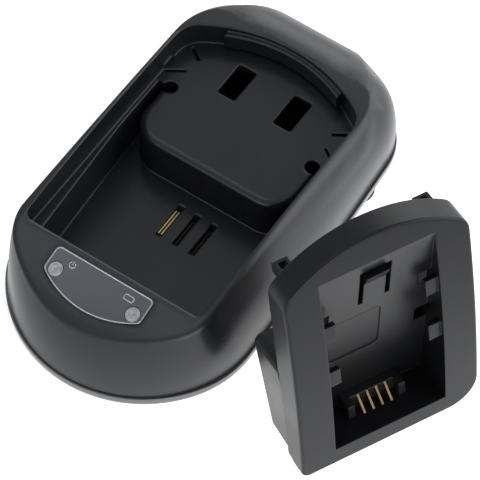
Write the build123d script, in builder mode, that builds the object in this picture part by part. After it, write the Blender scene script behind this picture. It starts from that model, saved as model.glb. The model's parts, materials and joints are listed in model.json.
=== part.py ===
from build123d import *
from math import asin, atan2, cos, degrees, hypot, radians, sin, sqrt, tan
import os

# Camera battery charger: an egg-shaped base with an open bay, and the battery plate that drops
# into the bay, taken off and standing beside it. Millimetres, +Z up, base centred on the origin,
# nose with the indicators towards -Y, everything stands on Z = 0.

# Base outline
base_length = 124.0
base_width = 72.0
heel_taper = 3.4  # how much narrower each side is at the heel than at the nose
belt_taper = 1.6
crown_taper = 0.6
seam_nose = (28.0, 30.0)  # sag of the nose arc and radius of its corners, at seam, belt and crown
belt_nose = (20.0, 20.0)
crown_nose = (11.8, 12.0)
seam_heel = (9.0, 18.0)  # sag of the heel arc and radius of its corners
belt_heel = (10.0, 19.0)
crown_heel = (20.0, 20.0)
wall = 1.8

# Base heights
foot_height = 1.5  # underside of the bottom shell above the table
seam_height = 6.2  # middle of the groove between the two shells
seam_gap = 0.7
belt_height = 20.0  # where the flanks turn from upright to leaning in
crown_height = 32.8
belt_lean = 2.3  # inset of flanks, nose and heel at the belt
belt_nose_lean = 3.4
belt_heel_lean = 0.6
crown_nose_lean = 7.0  # inset of nose and heel just above the crown
crown_heel_lean = 7.5
rim_width = 0.8

# Crown profile, seen from the side
crown_radius = 400.0
panel_roll = 70.0  # radius of the indicator panel as it rolls towards the nose
heel_roll = 18.0  # radius over the heel
crown_peak_from_bay = 44.0  # highest point, behind the bay's front edge
panel_break_from_bay = 4.0  # where the crown passes into the panel roll, and the heel roll
heel_break_from_bay = 1.0
panel_sweep = 30.0
loft_over = 1.0  # height of the flank loft above the crown
sky_room = 10.0  # height of the cutting solids above the crown

# Bay
bay_width = 56.8
panel_depth = 22.7  # nose tip to the bay's front edge
heel_depth = 17.0  # bay's far end to the heel tip
bay_arch = 10.0  # rise of the curved far end
bay_near_corner = 2.4
bay_far_corner = 8.0
least_corner = 0.5
shelf_depth = 9.3  # crown to shelf
spring_room = 3.6  # board to pocket floor, for the contact springs
pocket_length = 41.8
pocket_near_width = 49.6
pocket_far_width = 54.4
pocket_corner = 1.6
shelf_width = 50.8  # platform between the two side channels
shelf_corner = 9.0
shelf_edge = 2.4
channel_length = 18.0

# Openings of the bay floor
window_pitch = 18.2
window_width = 5.8
window_length = 11.2
window_from_far = 13.2
window_corner = 0.8
hole_pitch = 46.6
hole_diameter = 4.2
hole_from_window = 11.6
slot_pitch = 5.4
slot_offset = 1.6  # the row of contacts is off the middle
slot_width = 1.7
slot_length = 10.2
slot_from_step = 11.0
slot_ramp = 1.2
slit_width = 0.7
slit_far = ((2.6, -0.4), (6.6, -3.0))  # its ends, in from the bay's side and along from its corner
slit_near = ((0.6, -11.0), (5.6, -7.8))
catch_length = 37.0  # rib on the far wall
catch_depth = 1.5
catch_gap = 1.0
catch_height = 5.0
notch_length = 5.2  # notch at the foot of each side wall
notch_depth = 0.9
notch_height = 2.4
notch_from_far = 18.0

# Indicator panel
label_width = 31.0
label_length = 11.7
label_side = 7.0
label_from_bay = 1.9
label_corner = 1.4
label_thickness = 0.6
label_proud = 0.1
lens_pitch = 24.6
lens_diameter = 4.0
lens_from_label = 5.9
lens_proud = 0.3
fit_gap = 0.15

# Underside
flare = 0.5  # bottom shell stands proud of the top shell
base_edge = 2.8
foot_diameter = 10.0
foot_seat = 0.6
foot_edge = 0.5
foot_far_pitch = 58.0
foot_from_heel = 27.5
foot_near_pitch = 42.0
foot_from_nose = 18.0
lip_height = 2.0
lip_thickness = 1.2
lip_gap = 0.4
boss_diameter = 6.4
boss_meet = 9.6  # where the shells' screw posts meet
boss_far_pitch = 40.0
boss_from_heel = 12.0
boss_near_pitch = 41.0
boss_from_nose = 17.5
screw_diameter = 2.4
screw_length = 10.0
screw_head = 4.8
screw_head_height = 1.8
screw_clearance = 0.2
screw_sink = 0.6

# Electronics
board_thickness = 1.6
board_rise = 1.0  # board above the floor of the bottom shell
board_width = 46.0
board_from_nose = 32.0
board_from_heel = 17.0
tongue_width = 29.0
tongue_from_nose = 9.0
tail_width = 24.0
tail_from_heel = 5.0
post_diameter = 4.0
core_width = 20.0
core_headroom = 3.8  # free height between a component and the shelf
core_depth = 7.0
core_leg = 2.8
core_x = -10.5
core_from_step = 11.0
winding_gap = 0.2
input_capacitor_diameter = 8.0
input_capacitor_headroom = 3.3
input_capacitor_from_core = 13.0
output_capacitor_diameter = 6.3
output_capacitor_headroom = 4.8
capacitor_x = 17.0
sink_width = 14.0
sink_headroom = 4.8
sink_depth = 6.0
sink_wall = 1.2
sink_x = -11.0
sink_from_core = 12.0
transistor_width = 10.0
transistor_headroom = 6.8
transistor_depth = 3.2
transistor_edge = 0.4
chip_width = 10.0
chip_depth = 4.0
chip_height = 1.3
chip_edge = 0.25
chip_from_carrier = 5.0
led_diameter = 3.0
led_height = 5.0
led_dome = 1.0
led_collar = 0.4
can_edge = 0.8
can_groove = 1.6
light_gap = 0.4
inlet_width = 9.0
inlet_height = 11.6
inlet_depth = 12.0
inlet_bore = 6.0
inlet_bore_depth = 9.5
inlet_pin = 2.0
inlet_rim = 0.6
inlet_sink = 0.3
carrier_width = 18.0
carrier_depth = 13.0
carrier_height = 1.3
spring_length = 8.6
spring_leaf = 0.42
spring_spread = 1.3
spring_drops = (0.3, 1.3, 2.0)

# Battery plate
plate_clearance = 2.0
plate_lean = 11.0  # degrees, the slanted lower end makes it stand so
plate_turn = 63.0  # degrees from +X to its width
plate_place = (73.6, -23.4)
plate_toe = 1.6  # length of the toes under the lower end
toe_left = (-20.0, 11.0)  # middle and width of each toe
toe_right = (12.5, 8.6)
toe_depth = 11.0
toe_thickness = 3.0
face_edge = 0.8
end_corner_left = 2.4
end_corner_right = 9.0
box_clearance = 0.5
box_edge = 2.4
cover_wall = 1.6
recess_width = 33.0
recess_start = 8.0  # from the lower end
recess_from_top = 8.3
recess_room = 8.5  # pocket floor to the floor of the recess at its lower end, when fitted
recess_wall = 1.6
tongue_slot = 1.3
latch_width = 6.4
latch_from_end = 18.0  # from the upper end of the recess
latch_length = 13.0
latch_head = 4.5
latch_bump = 1.6
latch_room = 2.0  # free depth behind the latch tongue
rail_length = 5.5
rail_reach = 3.6
rail_height = 1.4
rail_sink = 1.2
rails_from_end = (39.0, 22.0)
sunk_width = 15.4
sunk_length = 18.0
sunk_depth = 0.4
sunk_from_end = 41.0
sunk_offset = -5.3
sunk_corner = 2.0
hook_pitch = 40.0
hook_width = 4.4
hook_length = 3.0
hook_from_top = 10.5  # below the top of the plate
hook_drop = 5.5
hook_eye = 2.2  # square eye through the hook
hook_wall = 1.1
peg_length = 3.4
peg_clearance = 0.3
block_width = 17.0
block_depth = 4.4
block_height = 3.4
block_post = 2.0
block_post_height = 3.0
fin_count = 4
fin_pitch = 2.7
fin_thickness = 0.6
fin_depth = 4.0
fin_height = 3.6
blade_thickness = 0.5
blade_length = 7.6
blade_reach = 3.0
inner_board_width = 33.0
inner_board_length = 26.0
inner_board_thickness = 1.2
inner_board_rise = 0.8
inner_rib = 1.2
inner_rib_pitch = 17.4
cover_screw_pitch = 43.2
cover_screw_from_step = 6.5
cover_boss = 4.4
cover_pad = 1.4
cover_screw_diameter = 2.0
cover_screw_head = 3.6
cover_screw_head_height = 1.4
cover_screw_length = 7.0

# Levels and places worked out from the sizes above
nose_tip = -base_length / 2
heel_tip = base_length / 2
bay_length = base_length - panel_depth - heel_depth
bay_front = nose_tip + panel_depth
bay_far = bay_front + bay_length
step_y = bay_front + pocket_length
crown_y = bay_front + crown_peak_from_bay
shell_low = seam_height + seam_gap / 2
tray_high = seam_height - seam_gap / 2
floor_top = foot_height + wall
board_low = floor_top + board_rise
board_top = board_low + board_thickness
shelf_z = crown_height - shelf_depth
shelf_room = shelf_z - wall - board_top
pocket_z = board_top + spring_room
pocket_depth = shelf_z - pocket_z
through = 3 * wall
window_y = bay_far - window_from_far
hole_y = window_y - hole_from_window
slot_y = step_y - slot_from_step
sky = crown_height + sky_room
label_back = bay_front - label_from_bay
lens_y = label_back - lens_from_label
boss_far_y = heel_tip - boss_from_heel
boss_near_y = nose_tip + boss_from_nose
foot_far_y = heel_tip - foot_from_heel
foot_near_y = nose_tip + foot_from_nose
boss_spots = [
    (-boss_far_pitch / 2, boss_far_y),
    (boss_far_pitch / 2, boss_far_y),
    (-boss_near_pitch / 2, boss_near_y),
    (boss_near_pitch / 2, boss_near_y),
]
foot_spots = [
    (-foot_far_pitch / 2, foot_far_y),
    (foot_far_pitch / 2, foot_far_y),
    (-foot_near_pitch / 2, foot_near_y),
    (foot_near_pitch / 2, foot_near_y),
]
slot_places = [slot_offset - slot_pitch, slot_offset, slot_offset + slot_pitch]
window_places = [-window_pitch / 2, window_pitch / 2]
hole_places = [-hole_pitch / 2, hole_pitch / 2]
lens_spots = [(-lens_pitch / 2, lens_y), (lens_pitch / 2, lens_y)]
head_seat = foot_height + screw_head_height + screw_sink
board_near = nose_tip + board_from_nose
board_far = heel_tip - board_from_heel
tongue_near = nose_tip + tongue_from_nose
tail_far = heel_tip - tail_from_heel
post_x = board_width / 2 - post_diameter
post_ys = (board_near + post_diameter, board_far - post_diameter)
post_spots = [(side * post_x, y) for side in (-1, 1) for y in post_ys]
slot_far = slot_y + slot_length / 2
bay_corner_y = bay_far - bay_arch
core_centre = (core_x, step_y + core_from_step)
core_height = shelf_room - core_headroom
sink_centre = (sink_x, core_centre[1] + sink_from_core)
sink_height = shelf_room - sink_headroom
transistor_height = shelf_room - transistor_headroom
input_capacitor_centre = (capacitor_x, core_centre[1] + input_capacitor_from_core)
input_capacitor_height = shelf_room - input_capacitor_headroom
output_capacitor_centre = (capacitor_x, core_centre[1])
output_capacitor_height = shelf_room - output_capacitor_headroom
chip_y = slot_y - (carrier_depth + chip_depth) / 2 - chip_from_carrier
core_window = (core_width - 4 * core_leg) / 2
core_mid_leg = 2 * core_leg
core_window_x = core_leg + core_window / 2
inlet_face = heel_tip - wall - 2 * lip_gap - lip_thickness
inlet_collar = heel_tip - belt_heel_lean - inlet_sink - inlet_face
inlet_z = board_top + inlet_height / 2
lean = radians(plate_lean)
turn = radians(plate_turn)
plate_low = bay_front + plate_clearance
plate_length = bay_length - 2 * plate_clearance
recess_low = pocket_z + recess_room
recess_end = plate_length - recess_from_top


def crown_at(y):
    """Height of the crown over the bay at a given Y."""
    return crown_height - crown_radius + sqrt(crown_radius**2 - (y - crown_y) ** 2)


plate_thickness = crown_at(plate_low) - shelf_z
cover_low = pocket_z + box_clearance
cover_floor = cover_low + cover_wall
cover_screw_y = step_y - cover_screw_from_step
cover_screw_spots = [(side * cover_screw_pitch / 2, cover_screw_y) for side in (-1, 1)]
hook_y = bay_far - plate_clearance - hook_from_top
hook_places = [-hook_pitch / 2, hook_pitch / 2]
rail_x = (recess_width - rail_reach + recess_wall) / 2
latch_low = plate_low + recess_end - latch_from_end
latch_high = latch_low + latch_length
inner_board_low = cover_floor + inner_board_rise
inner_board_y = step_y - box_clearance - cover_wall - lip_gap - inner_board_length / 2
block_y = plate_low + recess_start + block_depth / 2
block_top = recess_low + block_height
fin_places = [(number - (fin_count - 1) / 2) * fin_pitch for number in range(fin_count)]
rail_lows = [plate_low + recess_end - back for back in rails_from_end]
rail_mid_x = (recess_width - rail_reach) / 2
sunk_y = plate_low + recess_end - sunk_from_end + sunk_length / 2


def egg_face(inset, half_width, nose, heel, taper, nose_shape, heel_shape):
    """Plan of the housing: a round nose, long sides and a blunt heel, all moved in by inset."""
    half = half_width - inset
    tip = nose + inset
    end = heel - inset
    heel_half = half - taper
    nose_side = tip + nose_shape[0]
    shoulder = end - heel_shape[0]
    with BuildSketch() as plan:
        with BuildLine():
            ThreePointArc((-half, nose_side), (0, tip), (half, nose_side))
            TangentArc((half, nose_side), (heel_half, shoulder), tangent=(0, 1))
            ThreePointArc((heel_half, shoulder), (0, end), (-heel_half, shoulder))
            TangentArc((-half, nose_side), (-heel_half, shoulder), tangent=(0, 1))
        make_face()
        fillet(plan.vertices().group_by(Axis.Y)[-1], radius=heel_shape[1] - inset)
        fillet(plan.vertices().group_by(Axis.Y)[0], radius=nose_shape[1] - inset)
    return plan.sketch


def seam_egg(inset):
    """Plan of the housing at the seam."""
    return egg_face(inset, base_width / 2, nose_tip, heel_tip, heel_taper, seam_nose, seam_heel)


def belt_egg(inset):
    """Plan of the housing at the belt."""
    half_width = base_width / 2 - belt_lean
    nose = nose_tip + belt_nose_lean
    heel = heel_tip - belt_heel_lean
    return egg_face(inset, half_width, nose, heel, belt_taper, belt_nose, belt_heel)


def crown_egg(inset):
    """Plan of the housing just above the crown, where the flanks meet the bay's rim."""
    half_width = bay_width / 2 + rim_width
    nose = nose_tip + crown_nose_lean
    heel = heel_tip - crown_heel_lean
    return egg_face(inset, half_width, nose, heel, crown_taper, crown_nose, crown_heel)


def crown_face(inset):
    """Side profile under the crown: panel roll, long crown and heel roll as tangent arcs."""
    panel_break = bay_front + panel_break_from_bay
    heel_break = bay_far + heel_break_from_bay
    crown_centre = crown_height - crown_radius
    panel_angle = degrees(asin((panel_break - crown_y) / crown_radius))
    heel_angle = degrees(asin((heel_break - crown_y) / crown_radius))
    panel_reach = crown_radius - panel_roll
    heel_reach = crown_radius - heel_roll
    panel_centre = (
        crown_y + panel_reach * sin(radians(panel_angle)),
        crown_centre + panel_reach * cos(radians(panel_angle)),
    )
    heel_centre = (
        crown_y + heel_reach * sin(radians(heel_angle)),
        crown_centre + heel_reach * cos(radians(heel_angle)),
    )
    with BuildSketch() as profile:
        with BuildLine():
            heel_arc = CenterArc(heel_centre, heel_roll - inset, 0, 90 - heel_angle)
            crown_start = 90 - heel_angle
            CenterArc((crown_y, crown_centre), crown_radius - inset, crown_start, heel_angle - panel_angle)
            panel_arc = CenterArc(panel_centre, panel_roll - inset, 90 - panel_angle, panel_sweep)
            Polyline(
                panel_arc @ 1,
                ((panel_arc @ 1).X, -sky),
                ((heel_arc @ 0).X, -sky),
                heel_arc @ 0,
            )
        make_face()
    return profile.sketch


def crown_disc(inset):
    """Round side profile of the crown alone, as the plate has it."""
    with BuildSketch() as profile:
        with Locations((crown_y, crown_height - crown_radius)):
            Circle(crown_radius - inset)
    return profile.sketch


def bay_face(grow):
    """Plan of the bay's opening, with straight sides and a curved far end."""
    half = bay_width / 2 + grow
    near = bay_front - grow
    far = bay_far + grow
    with BuildSketch() as plan:
        with BuildLine():
            Polyline((-half, far - bay_arch), (-half, near), (half, near), (half, far - bay_arch))
            ThreePointArc((half, far - bay_arch), (0, far), (-half, far - bay_arch))
        make_face()
        fillet(plan.vertices().group_by(Axis.Y)[-1], radius=max(bay_far_corner + grow, least_corner))
        fillet(plan.vertices().group_by(Axis.Y)[0], radius=max(bay_near_corner + grow, least_corner))
    return plan.sketch


def shelf_face(grow):
    """Plan of the shelf's free-standing part, between the two channels."""
    half = shelf_width / 2 - grow
    near = step_y + grow
    far = step_y + channel_length + grow
    with BuildSketch() as plan:
        with BuildLine():
            Polyline((-half, near), (half, near), (half, far), (-half, far), close=True)
        make_face()
        fillet(plan.vertices().group_by(Axis.Y)[0], radius=shelf_corner - grow)
    return plan.sketch


def pocket_face(grow):
    """Plan of the deep pocket with the two channels that run up beside the shelf."""
    near_half = pocket_near_width / 2 + grow
    far_half = pocket_far_width / 2 + grow
    near = bay_front - grow
    channel_end = step_y + channel_length + grow
    with BuildSketch() as plan:
        with BuildLine():
            Polyline(
                (-near_half, near),
                (near_half, near),
                (far_half, step_y),
                (far_half, channel_end),
                (-far_half, channel_end),
                (-far_half, step_y),
                close=True,
            )
        make_face()
        add(shelf_face(grow), mode=Mode.SUBTRACT)
        fillet(plan.vertices().group_by(Axis.Y)[0], radius=pocket_corner + grow)
    return plan.sketch


def label_face(grow):
    """Plan of the indicator panel: a straight back edge and a front edge that follows the nose."""
    half = label_width / 2 + grow
    back = label_back + grow
    side = label_back - label_side - grow
    front = label_back - label_length - grow
    with BuildSketch() as plan:
        with BuildLine():
            Polyline((-half, side), (-half, back), (half, back), (half, side))
            ThreePointArc((half, side), (0, front), (-half, side))
        make_face()
        fillet(plan.vertices(), radius=label_corner + grow)
    return plan.sketch


# Material kept round the bay when the top shell is hollowed
with BuildPart() as bay_walls:
    with BuildSketch(Plane.XY.offset(shelf_z - wall)):
        add(bay_face(wall))
    extrude(amount=sky)
    with BuildSketch(Plane.XY.offset(pocket_z - wall)):
        add(pocket_face(wall))
    extrude(amount=sky)
    with Locations(*[(x, y, board_top) for x, y in boss_spots]):
        Cylinder(boss_diameter / 2, sky, align=(Align.CENTER, Align.CENTER, Align.MIN))

# Shelf at the far part of the bay, with its rounded edge over the pocket
with BuildPart() as shelf_block:
    with BuildSketch(Plane.XY.offset(pocket_z - wall)):
        add(shelf_face(0))
    extrude(amount=pocket_depth + wall)
    fillet(shelf_block.edges().group_by(Axis.Z)[-1].sort_by(Axis.Y)[:-1], radius=shelf_edge)

# Space inside the top shell
with BuildPart() as hollow:
    with BuildSketch(Plane.XY.offset(shell_low)):
        add(seam_egg(wall))
    with BuildSketch(Plane.XY.offset(belt_height)):
        add(belt_egg(wall))
    with BuildSketch(Plane.XY.offset(crown_height + loft_over)):
        add(crown_egg(wall))
    loft()
    with BuildSketch(Plane.YZ):
        add(crown_face(wall))
    extrude(amount=base_width, both=True, mode=Mode.INTERSECT)
    add(bay_walls.part, mode=Mode.SUBTRACT)

# Column over the seat of the indicator panel
with BuildPart() as label_seat:
    with BuildSketch(Plane.XY.offset(belt_height)):
        add(label_face(fit_gap))
    extrude(amount=sky)
    with BuildSketch(Plane.YZ):
        add(crown_face(label_thickness - label_proud))
    extrude(amount=base_width, both=True, mode=Mode.SUBTRACT)

with BuildPart() as top_shell:
    with BuildSketch(Plane.XY.offset(shell_low)):
        add(seam_egg(0))
    with BuildSketch(Plane.XY.offset(belt_height)):
        add(belt_egg(0))
    with BuildSketch(Plane.XY.offset(crown_height + loft_over)):
        add(crown_egg(0))
    loft()
    with BuildSketch(Plane.YZ):
        add(crown_face(0))
    extrude(amount=base_width, both=True, mode=Mode.INTERSECT)
    with BuildSketch(Plane.XY.offset(shelf_z)):
        add(bay_face(0))
    extrude(amount=sky, mode=Mode.SUBTRACT)
    with BuildSketch(Plane.XY.offset(pocket_z)):
        add(pocket_face(0))
        add(shelf_face(0))
    extrude(amount=sky, mode=Mode.SUBTRACT)
    add(shelf_block.part)
    add(hollow.part, mode=Mode.SUBTRACT)
    # Windows and round holes in the shelf
    with BuildSketch(Plane.XY.offset(shelf_z)):
        with Locations(*[(x, window_y) for x in window_places]):
            RectangleRounded(window_width, window_length, window_corner)
        with Locations(*[(x, hole_y) for x in hole_places]):
            Circle(hole_diameter / 2)
    extrude(amount=-through, mode=Mode.SUBTRACT)
    # Slits in the far corners of the shelf
    with BuildSketch(Plane.XY.offset(shelf_z)):
        for start, end in (slit_far, slit_near):
            run = (start[0] - end[0], end[1] - start[1])
            for side in (-1, 1):
                x = side * (bay_width / 2 - (start[0] + end[0]) / 2)
                y = bay_corner_y + (start[1] + end[1]) / 2
                with Locations(Location((x, y), side * degrees(atan2(run[1], run[0])))):
                    SlotOverall(hypot(*run), slit_width)
    extrude(amount=-through, mode=Mode.SUBTRACT)
    # Rib on the far wall, and a notch at the foot of each side wall
    with BuildSketch(Plane.XY.offset(shelf_z + catch_gap)):
        add(bay_face(wall / 2))
        add(bay_face(-catch_depth), mode=Mode.SUBTRACT)
        with Locations((0, bay_far)):
            Rectangle(catch_length, 2 * bay_arch, mode=Mode.INTERSECT)
    extrude(amount=catch_height)
    with BuildSketch(Plane.XY.offset(shelf_z)):
        with Locations((0, bay_far - notch_from_far)):
            Rectangle(bay_width + 2 * notch_depth, notch_length)
    extrude(amount=notch_height, mode=Mode.SUBTRACT)
    # Opening of the heel for the power inlet
    with BuildSketch(Plane.XZ.offset(-inlet_face)):
        with Locations((0, inlet_z)):
            Circle(inlet_bore / 2 + inlet_rim + fit_gap)
    extrude(amount=-inlet_depth, mode=Mode.SUBTRACT)
    # Three contact slots in the pocket floor
    with BuildSketch(Plane.XY.offset(pocket_z)):
        with Locations(*[(x, slot_y) for x in slot_places]):
            Rectangle(slot_width, slot_length)
    extrude(amount=-2 * wall, mode=Mode.SUBTRACT)
    with BuildSketch(*[Plane.YZ.offset(x) for x in slot_places]):
        with BuildLine():
            Polyline(
                (slot_far, pocket_z),
                (slot_far + slot_ramp, pocket_z),
                (slot_far, pocket_z - wall),
                close=True,
            )
        make_face()
    extrude(amount=slot_width / 2, both=True, mode=Mode.SUBTRACT)
    # Seat of the indicator panel, and the two holes below it for the light pipes
    add(label_seat.part, mode=Mode.SUBTRACT)
    with BuildSketch(Plane.XY.offset(belt_height)):
        with Locations(*lens_spots):
            Circle(lens_diameter / 2 + fit_gap)
    extrude(amount=sky, mode=Mode.SUBTRACT)
    # Blind screw holes up the posts
    with BuildSketch(Plane.XY.offset(boss_meet)):
        with Locations(*boss_spots):
            Circle(boss_diameter / 2 + fit_gap)
    extrude(amount=shell_low - boss_meet, mode=Mode.SUBTRACT)
    with BuildSketch(Plane.XY.offset(boss_meet)):
        with Locations(*boss_spots):
            Circle(screw_diameter / 2 + fit_gap / 2)
    extrude(amount=screw_length, mode=Mode.SUBTRACT)
top_shell.part.label = "top_shell"

# Bottom shell with its lip, screw posts, board posts and seats for the feet
with BuildPart() as bottom_shell:
    with BuildSketch(Plane.XY.offset(foot_height)):
        add(seam_egg(-flare))
    extrude(amount=tray_high - foot_height)
    fillet(bottom_shell.edges().group_by(Axis.Z)[0], radius=base_edge)
    with BuildSketch(Plane.XY.offset(floor_top)):
        add(seam_egg(wall))
    extrude(amount=sky, mode=Mode.SUBTRACT)
    with BuildSketch(Plane.XY.offset(floor_top)):
        add(seam_egg(wall + lip_gap))
        add(seam_egg(wall + lip_gap + lip_thickness), mode=Mode.SUBTRACT)
    extrude(amount=tray_high + lip_height - floor_top)
    with BuildSketch(Plane.XY.offset(floor_top)):
        with Locations(*boss_spots):
            Circle(boss_diameter / 2)
    extrude(amount=boss_meet - floor_top)
    with BuildSketch(Plane.XY.offset(floor_top)):
        with Locations(*post_spots):
            Circle(post_diameter / 2)
    extrude(amount=board_rise)
    with BuildSketch(Plane.XY.offset(foot_height)):
        with Locations(*foot_spots):
            Circle(foot_diameter / 2 + fit_gap)
    extrude(amount=foot_seat, mode=Mode.SUBTRACT)
    with BuildSketch(Plane.XY.offset(foot_height)):
        with Locations(*boss_spots):
            Circle(screw_head / 2 + screw_clearance)
    extrude(amount=head_seat - foot_height, mode=Mode.SUBTRACT)
    with BuildSketch(Plane.XY.offset(foot_height)):
        with Locations(*boss_spots):
            Circle(screw_diameter / 2 + screw_clearance)
    extrude(amount=sky, mode=Mode.SUBTRACT)
bottom_shell.part.label = "bottom_shell"

with BuildPart() as rubber_feet:
    with BuildSketch():
        with Locations(*foot_spots):
            Circle(foot_diameter / 2)
    extrude(amount=foot_height + foot_seat)
    fillet(rubber_feet.edges().group_by(Axis.Z)[0], radius=foot_edge)
rubber_feet.part.label = "rubber_feet"

with BuildPart() as case_screws:
    with BuildSketch(Plane.XY.offset(head_seat)):
        with Locations(*boss_spots):
            Circle(screw_head / 2)
    extrude(amount=-screw_head_height)
    with BuildSketch(Plane.XY.offset(head_seat)):
        with Locations(*boss_spots):
            Circle(screw_diameter / 2)
    extrude(amount=screw_length)
case_screws.part.label = "case_screws"

# Foil on the indicator panel and the two light pipes that come up through it
with BuildPart() as indicator_panel:
    with BuildSketch(Plane.XY.offset(belt_height)):
        add(label_face(0))
    extrude(amount=sky)
    with BuildSketch(Plane.YZ):
        add(crown_face(-label_proud))
    extrude(amount=base_width, both=True, mode=Mode.INTERSECT)
    with BuildSketch(Plane.YZ):
        add(crown_face(label_thickness - label_proud))
    extrude(amount=base_width, both=True, mode=Mode.SUBTRACT)
    with BuildSketch(Plane.XY.offset(belt_height)):
        with Locations(*lens_spots):
            Circle(lens_diameter / 2 + fit_gap)
    extrude(amount=sky, mode=Mode.SUBTRACT)
indicator_panel.part.label = "indicator_panel"


def light_pipe(spot):
    """Clear pipe from an indicator lamp to its domed lens in the panel."""
    foot = board_top + led_height + light_gap
    with BuildPart() as pipe:
        with BuildSketch(Plane.XY.offset(foot)):
            with Locations(spot):
                Circle(lens_diameter / 2)
        extrude(amount=sky)
        with BuildSketch(Plane.YZ):
            add(crown_face(-lens_proud))
        extrude(amount=base_width, both=True, mode=Mode.INTERSECT)
        fillet(pipe.edges().group_by(Axis.Z)[-1], radius=lens_proud)
    return pipe.part


def lamp(spot):
    """Indicator lamp: a collar and a domed body on the board."""
    with BuildPart() as body:
        with BuildSketch(Plane.XY.offset(board_top)):
            with Locations(spot):
                Circle(led_diameter / 2)
        extrude(amount=led_height)
        fillet(body.edges().group_by(Axis.Z)[-1], radius=led_dome)
        with BuildSketch(Plane.XY.offset(board_top)):
            with Locations(spot):
                Circle(led_diameter / 2 + led_collar)
        extrude(amount=led_collar)
    return body.part


status_lens = light_pipe(lens_spots[0])
status_lens.label = "status_lens"
charge_lens = light_pipe(lens_spots[1])
charge_lens.label = "charge_lens"
status_led = lamp(lens_spots[0])
status_led.label = "status_led"
charge_led = lamp(lens_spots[1])
charge_led.label = "charge_led"

# Main board: a tongue under the indicators, the wide middle and a tail for the inlet
with BuildPart() as main_board:
    with BuildSketch(Plane.XY.offset(board_low)):
        with Locations((0, (board_near + board_far) / 2)):
            Rectangle(board_width, board_far - board_near)
        with Locations((0, (tongue_near + board_near) / 2)):
            Rectangle(tongue_width, board_near - tongue_near)
        with Locations((0, (board_far + tail_far) / 2)):
            Rectangle(tail_width, tail_far - board_far)
    extrude(amount=board_thickness)
main_board.part.label = "main_board"

# Transformer: a three-legged core with the winding on its middle leg
with BuildPart() as transformer_core:
    with BuildSketch(Plane.XZ.offset(-core_centre[1] - core_depth / 2)):
        with Locations((core_centre[0], board_top + core_height / 2)):
            Rectangle(core_width, core_height)
        with Locations(
            (core_centre[0] - core_window_x, board_top + core_height / 2),
            (core_centre[0] + core_window_x, board_top + core_height / 2),
        ):
            Rectangle(core_window, core_height - 2 * core_leg, mode=Mode.SUBTRACT)
    extrude(amount=core_depth)
transformer_core.part.label = "transformer_core"

with BuildPart() as transformer_winding:
    with BuildSketch(Plane.XY.offset(board_top + core_leg + winding_gap)):
        with Locations(core_centre):
            RectangleRounded(
                core_mid_leg + 2 * core_window - 2 * winding_gap,
                core_depth + 2 * core_window - 2 * winding_gap,
                core_window / 2,
            )
            Rectangle(
                core_mid_leg + 2 * winding_gap,
                core_depth + 2 * winding_gap,
                mode=Mode.SUBTRACT,
            )
    extrude(amount=core_height - 2 * core_leg - 2 * winding_gap)
transformer_winding.part.label = "transformer_winding"


def capacitor(centre, diameter, height):
    """Upright round capacitor with a rounded can and the crimped groove near its foot."""
    with BuildPart() as can:
        with BuildSketch(Plane.XY.offset(board_top)):
            with Locations(centre):
                Circle(diameter / 2)
        extrude(amount=height)
        fillet(can.edges().group_by(Axis.Z)[-1], radius=can_edge)
        with BuildSketch(Plane.XY.offset(board_top + can_groove)):
            with Locations(centre):
                Circle(diameter / 2)
                Circle(diameter / 2 - can_edge / 2, mode=Mode.SUBTRACT)
        extrude(amount=can_edge, mode=Mode.SUBTRACT)
    return can.part


input_capacitor = capacitor(input_capacitor_centre, input_capacitor_diameter, input_capacitor_height)
input_capacitor.label = "input_capacitor"
output_capacitor = capacitor(output_capacitor_centre, output_capacitor_diameter, output_capacitor_height)
output_capacitor.label = "output_capacitor"

# Folded heat sink with the switching transistor against its web
with BuildPart() as heat_sink:
    with BuildSketch(Plane.XY.offset(board_top)):
        with Locations((sink_centre[0], sink_centre[1] + sink_depth / 2)):
            Rectangle(sink_width, sink_depth)
        with Locations((sink_centre[0], sink_centre[1] + sink_depth / 2 + sink_wall)):
            Rectangle(sink_width - 2 * sink_wall, sink_depth, mode=Mode.SUBTRACT)
    extrude(amount=sink_height)
heat_sink.part.label = "heat_sink"

with BuildPart() as switching_transistor:
    with BuildSketch(Plane.XY.offset(board_top)):
        with Locations((sink_centre[0], sink_centre[1] - transistor_depth / 2)):
            Rectangle(transistor_width, transistor_depth)
    extrude(amount=transistor_height)
    chamfer(switching_transistor.faces().sort_by(Axis.Y)[0].edges(), length=transistor_edge)
switching_transistor.part.label = "switching_transistor"

with BuildPart() as controller_chip:
    with BuildSketch(Plane.XY.offset(board_top)):
        with Locations((0, chip_y)):
            Rectangle(chip_width, chip_depth)
    extrude(amount=chip_height)
    chamfer(controller_chip.edges().group_by(Axis.Z)[-1], length=chip_edge)
controller_chip.part.label = "controller_chip"

# Power inlet on the tail of the board, its collar in the opening of the heel
with BuildPart() as power_inlet:
    with BuildSketch(Plane.XZ.offset(-inlet_face)):
        with Locations((0, inlet_z)):
            RectangleRounded(inlet_width, inlet_height, inlet_rim)
    extrude(amount=inlet_depth)
    with BuildSketch(Plane.XZ.offset(-inlet_face)):
        with Locations((0, inlet_z)):
            Circle(inlet_bore / 2 + inlet_rim)
    extrude(amount=-inlet_collar)
    with BuildSketch(Plane.XZ.offset(-inlet_face - inlet_collar)):
        with Locations((0, inlet_z)):
            Circle(inlet_bore / 2)
            Circle(inlet_pin / 2, mode=Mode.SUBTRACT)
    extrude(amount=inlet_bore_depth, mode=Mode.SUBTRACT)
power_inlet.part.label = "power_inlet"

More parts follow.
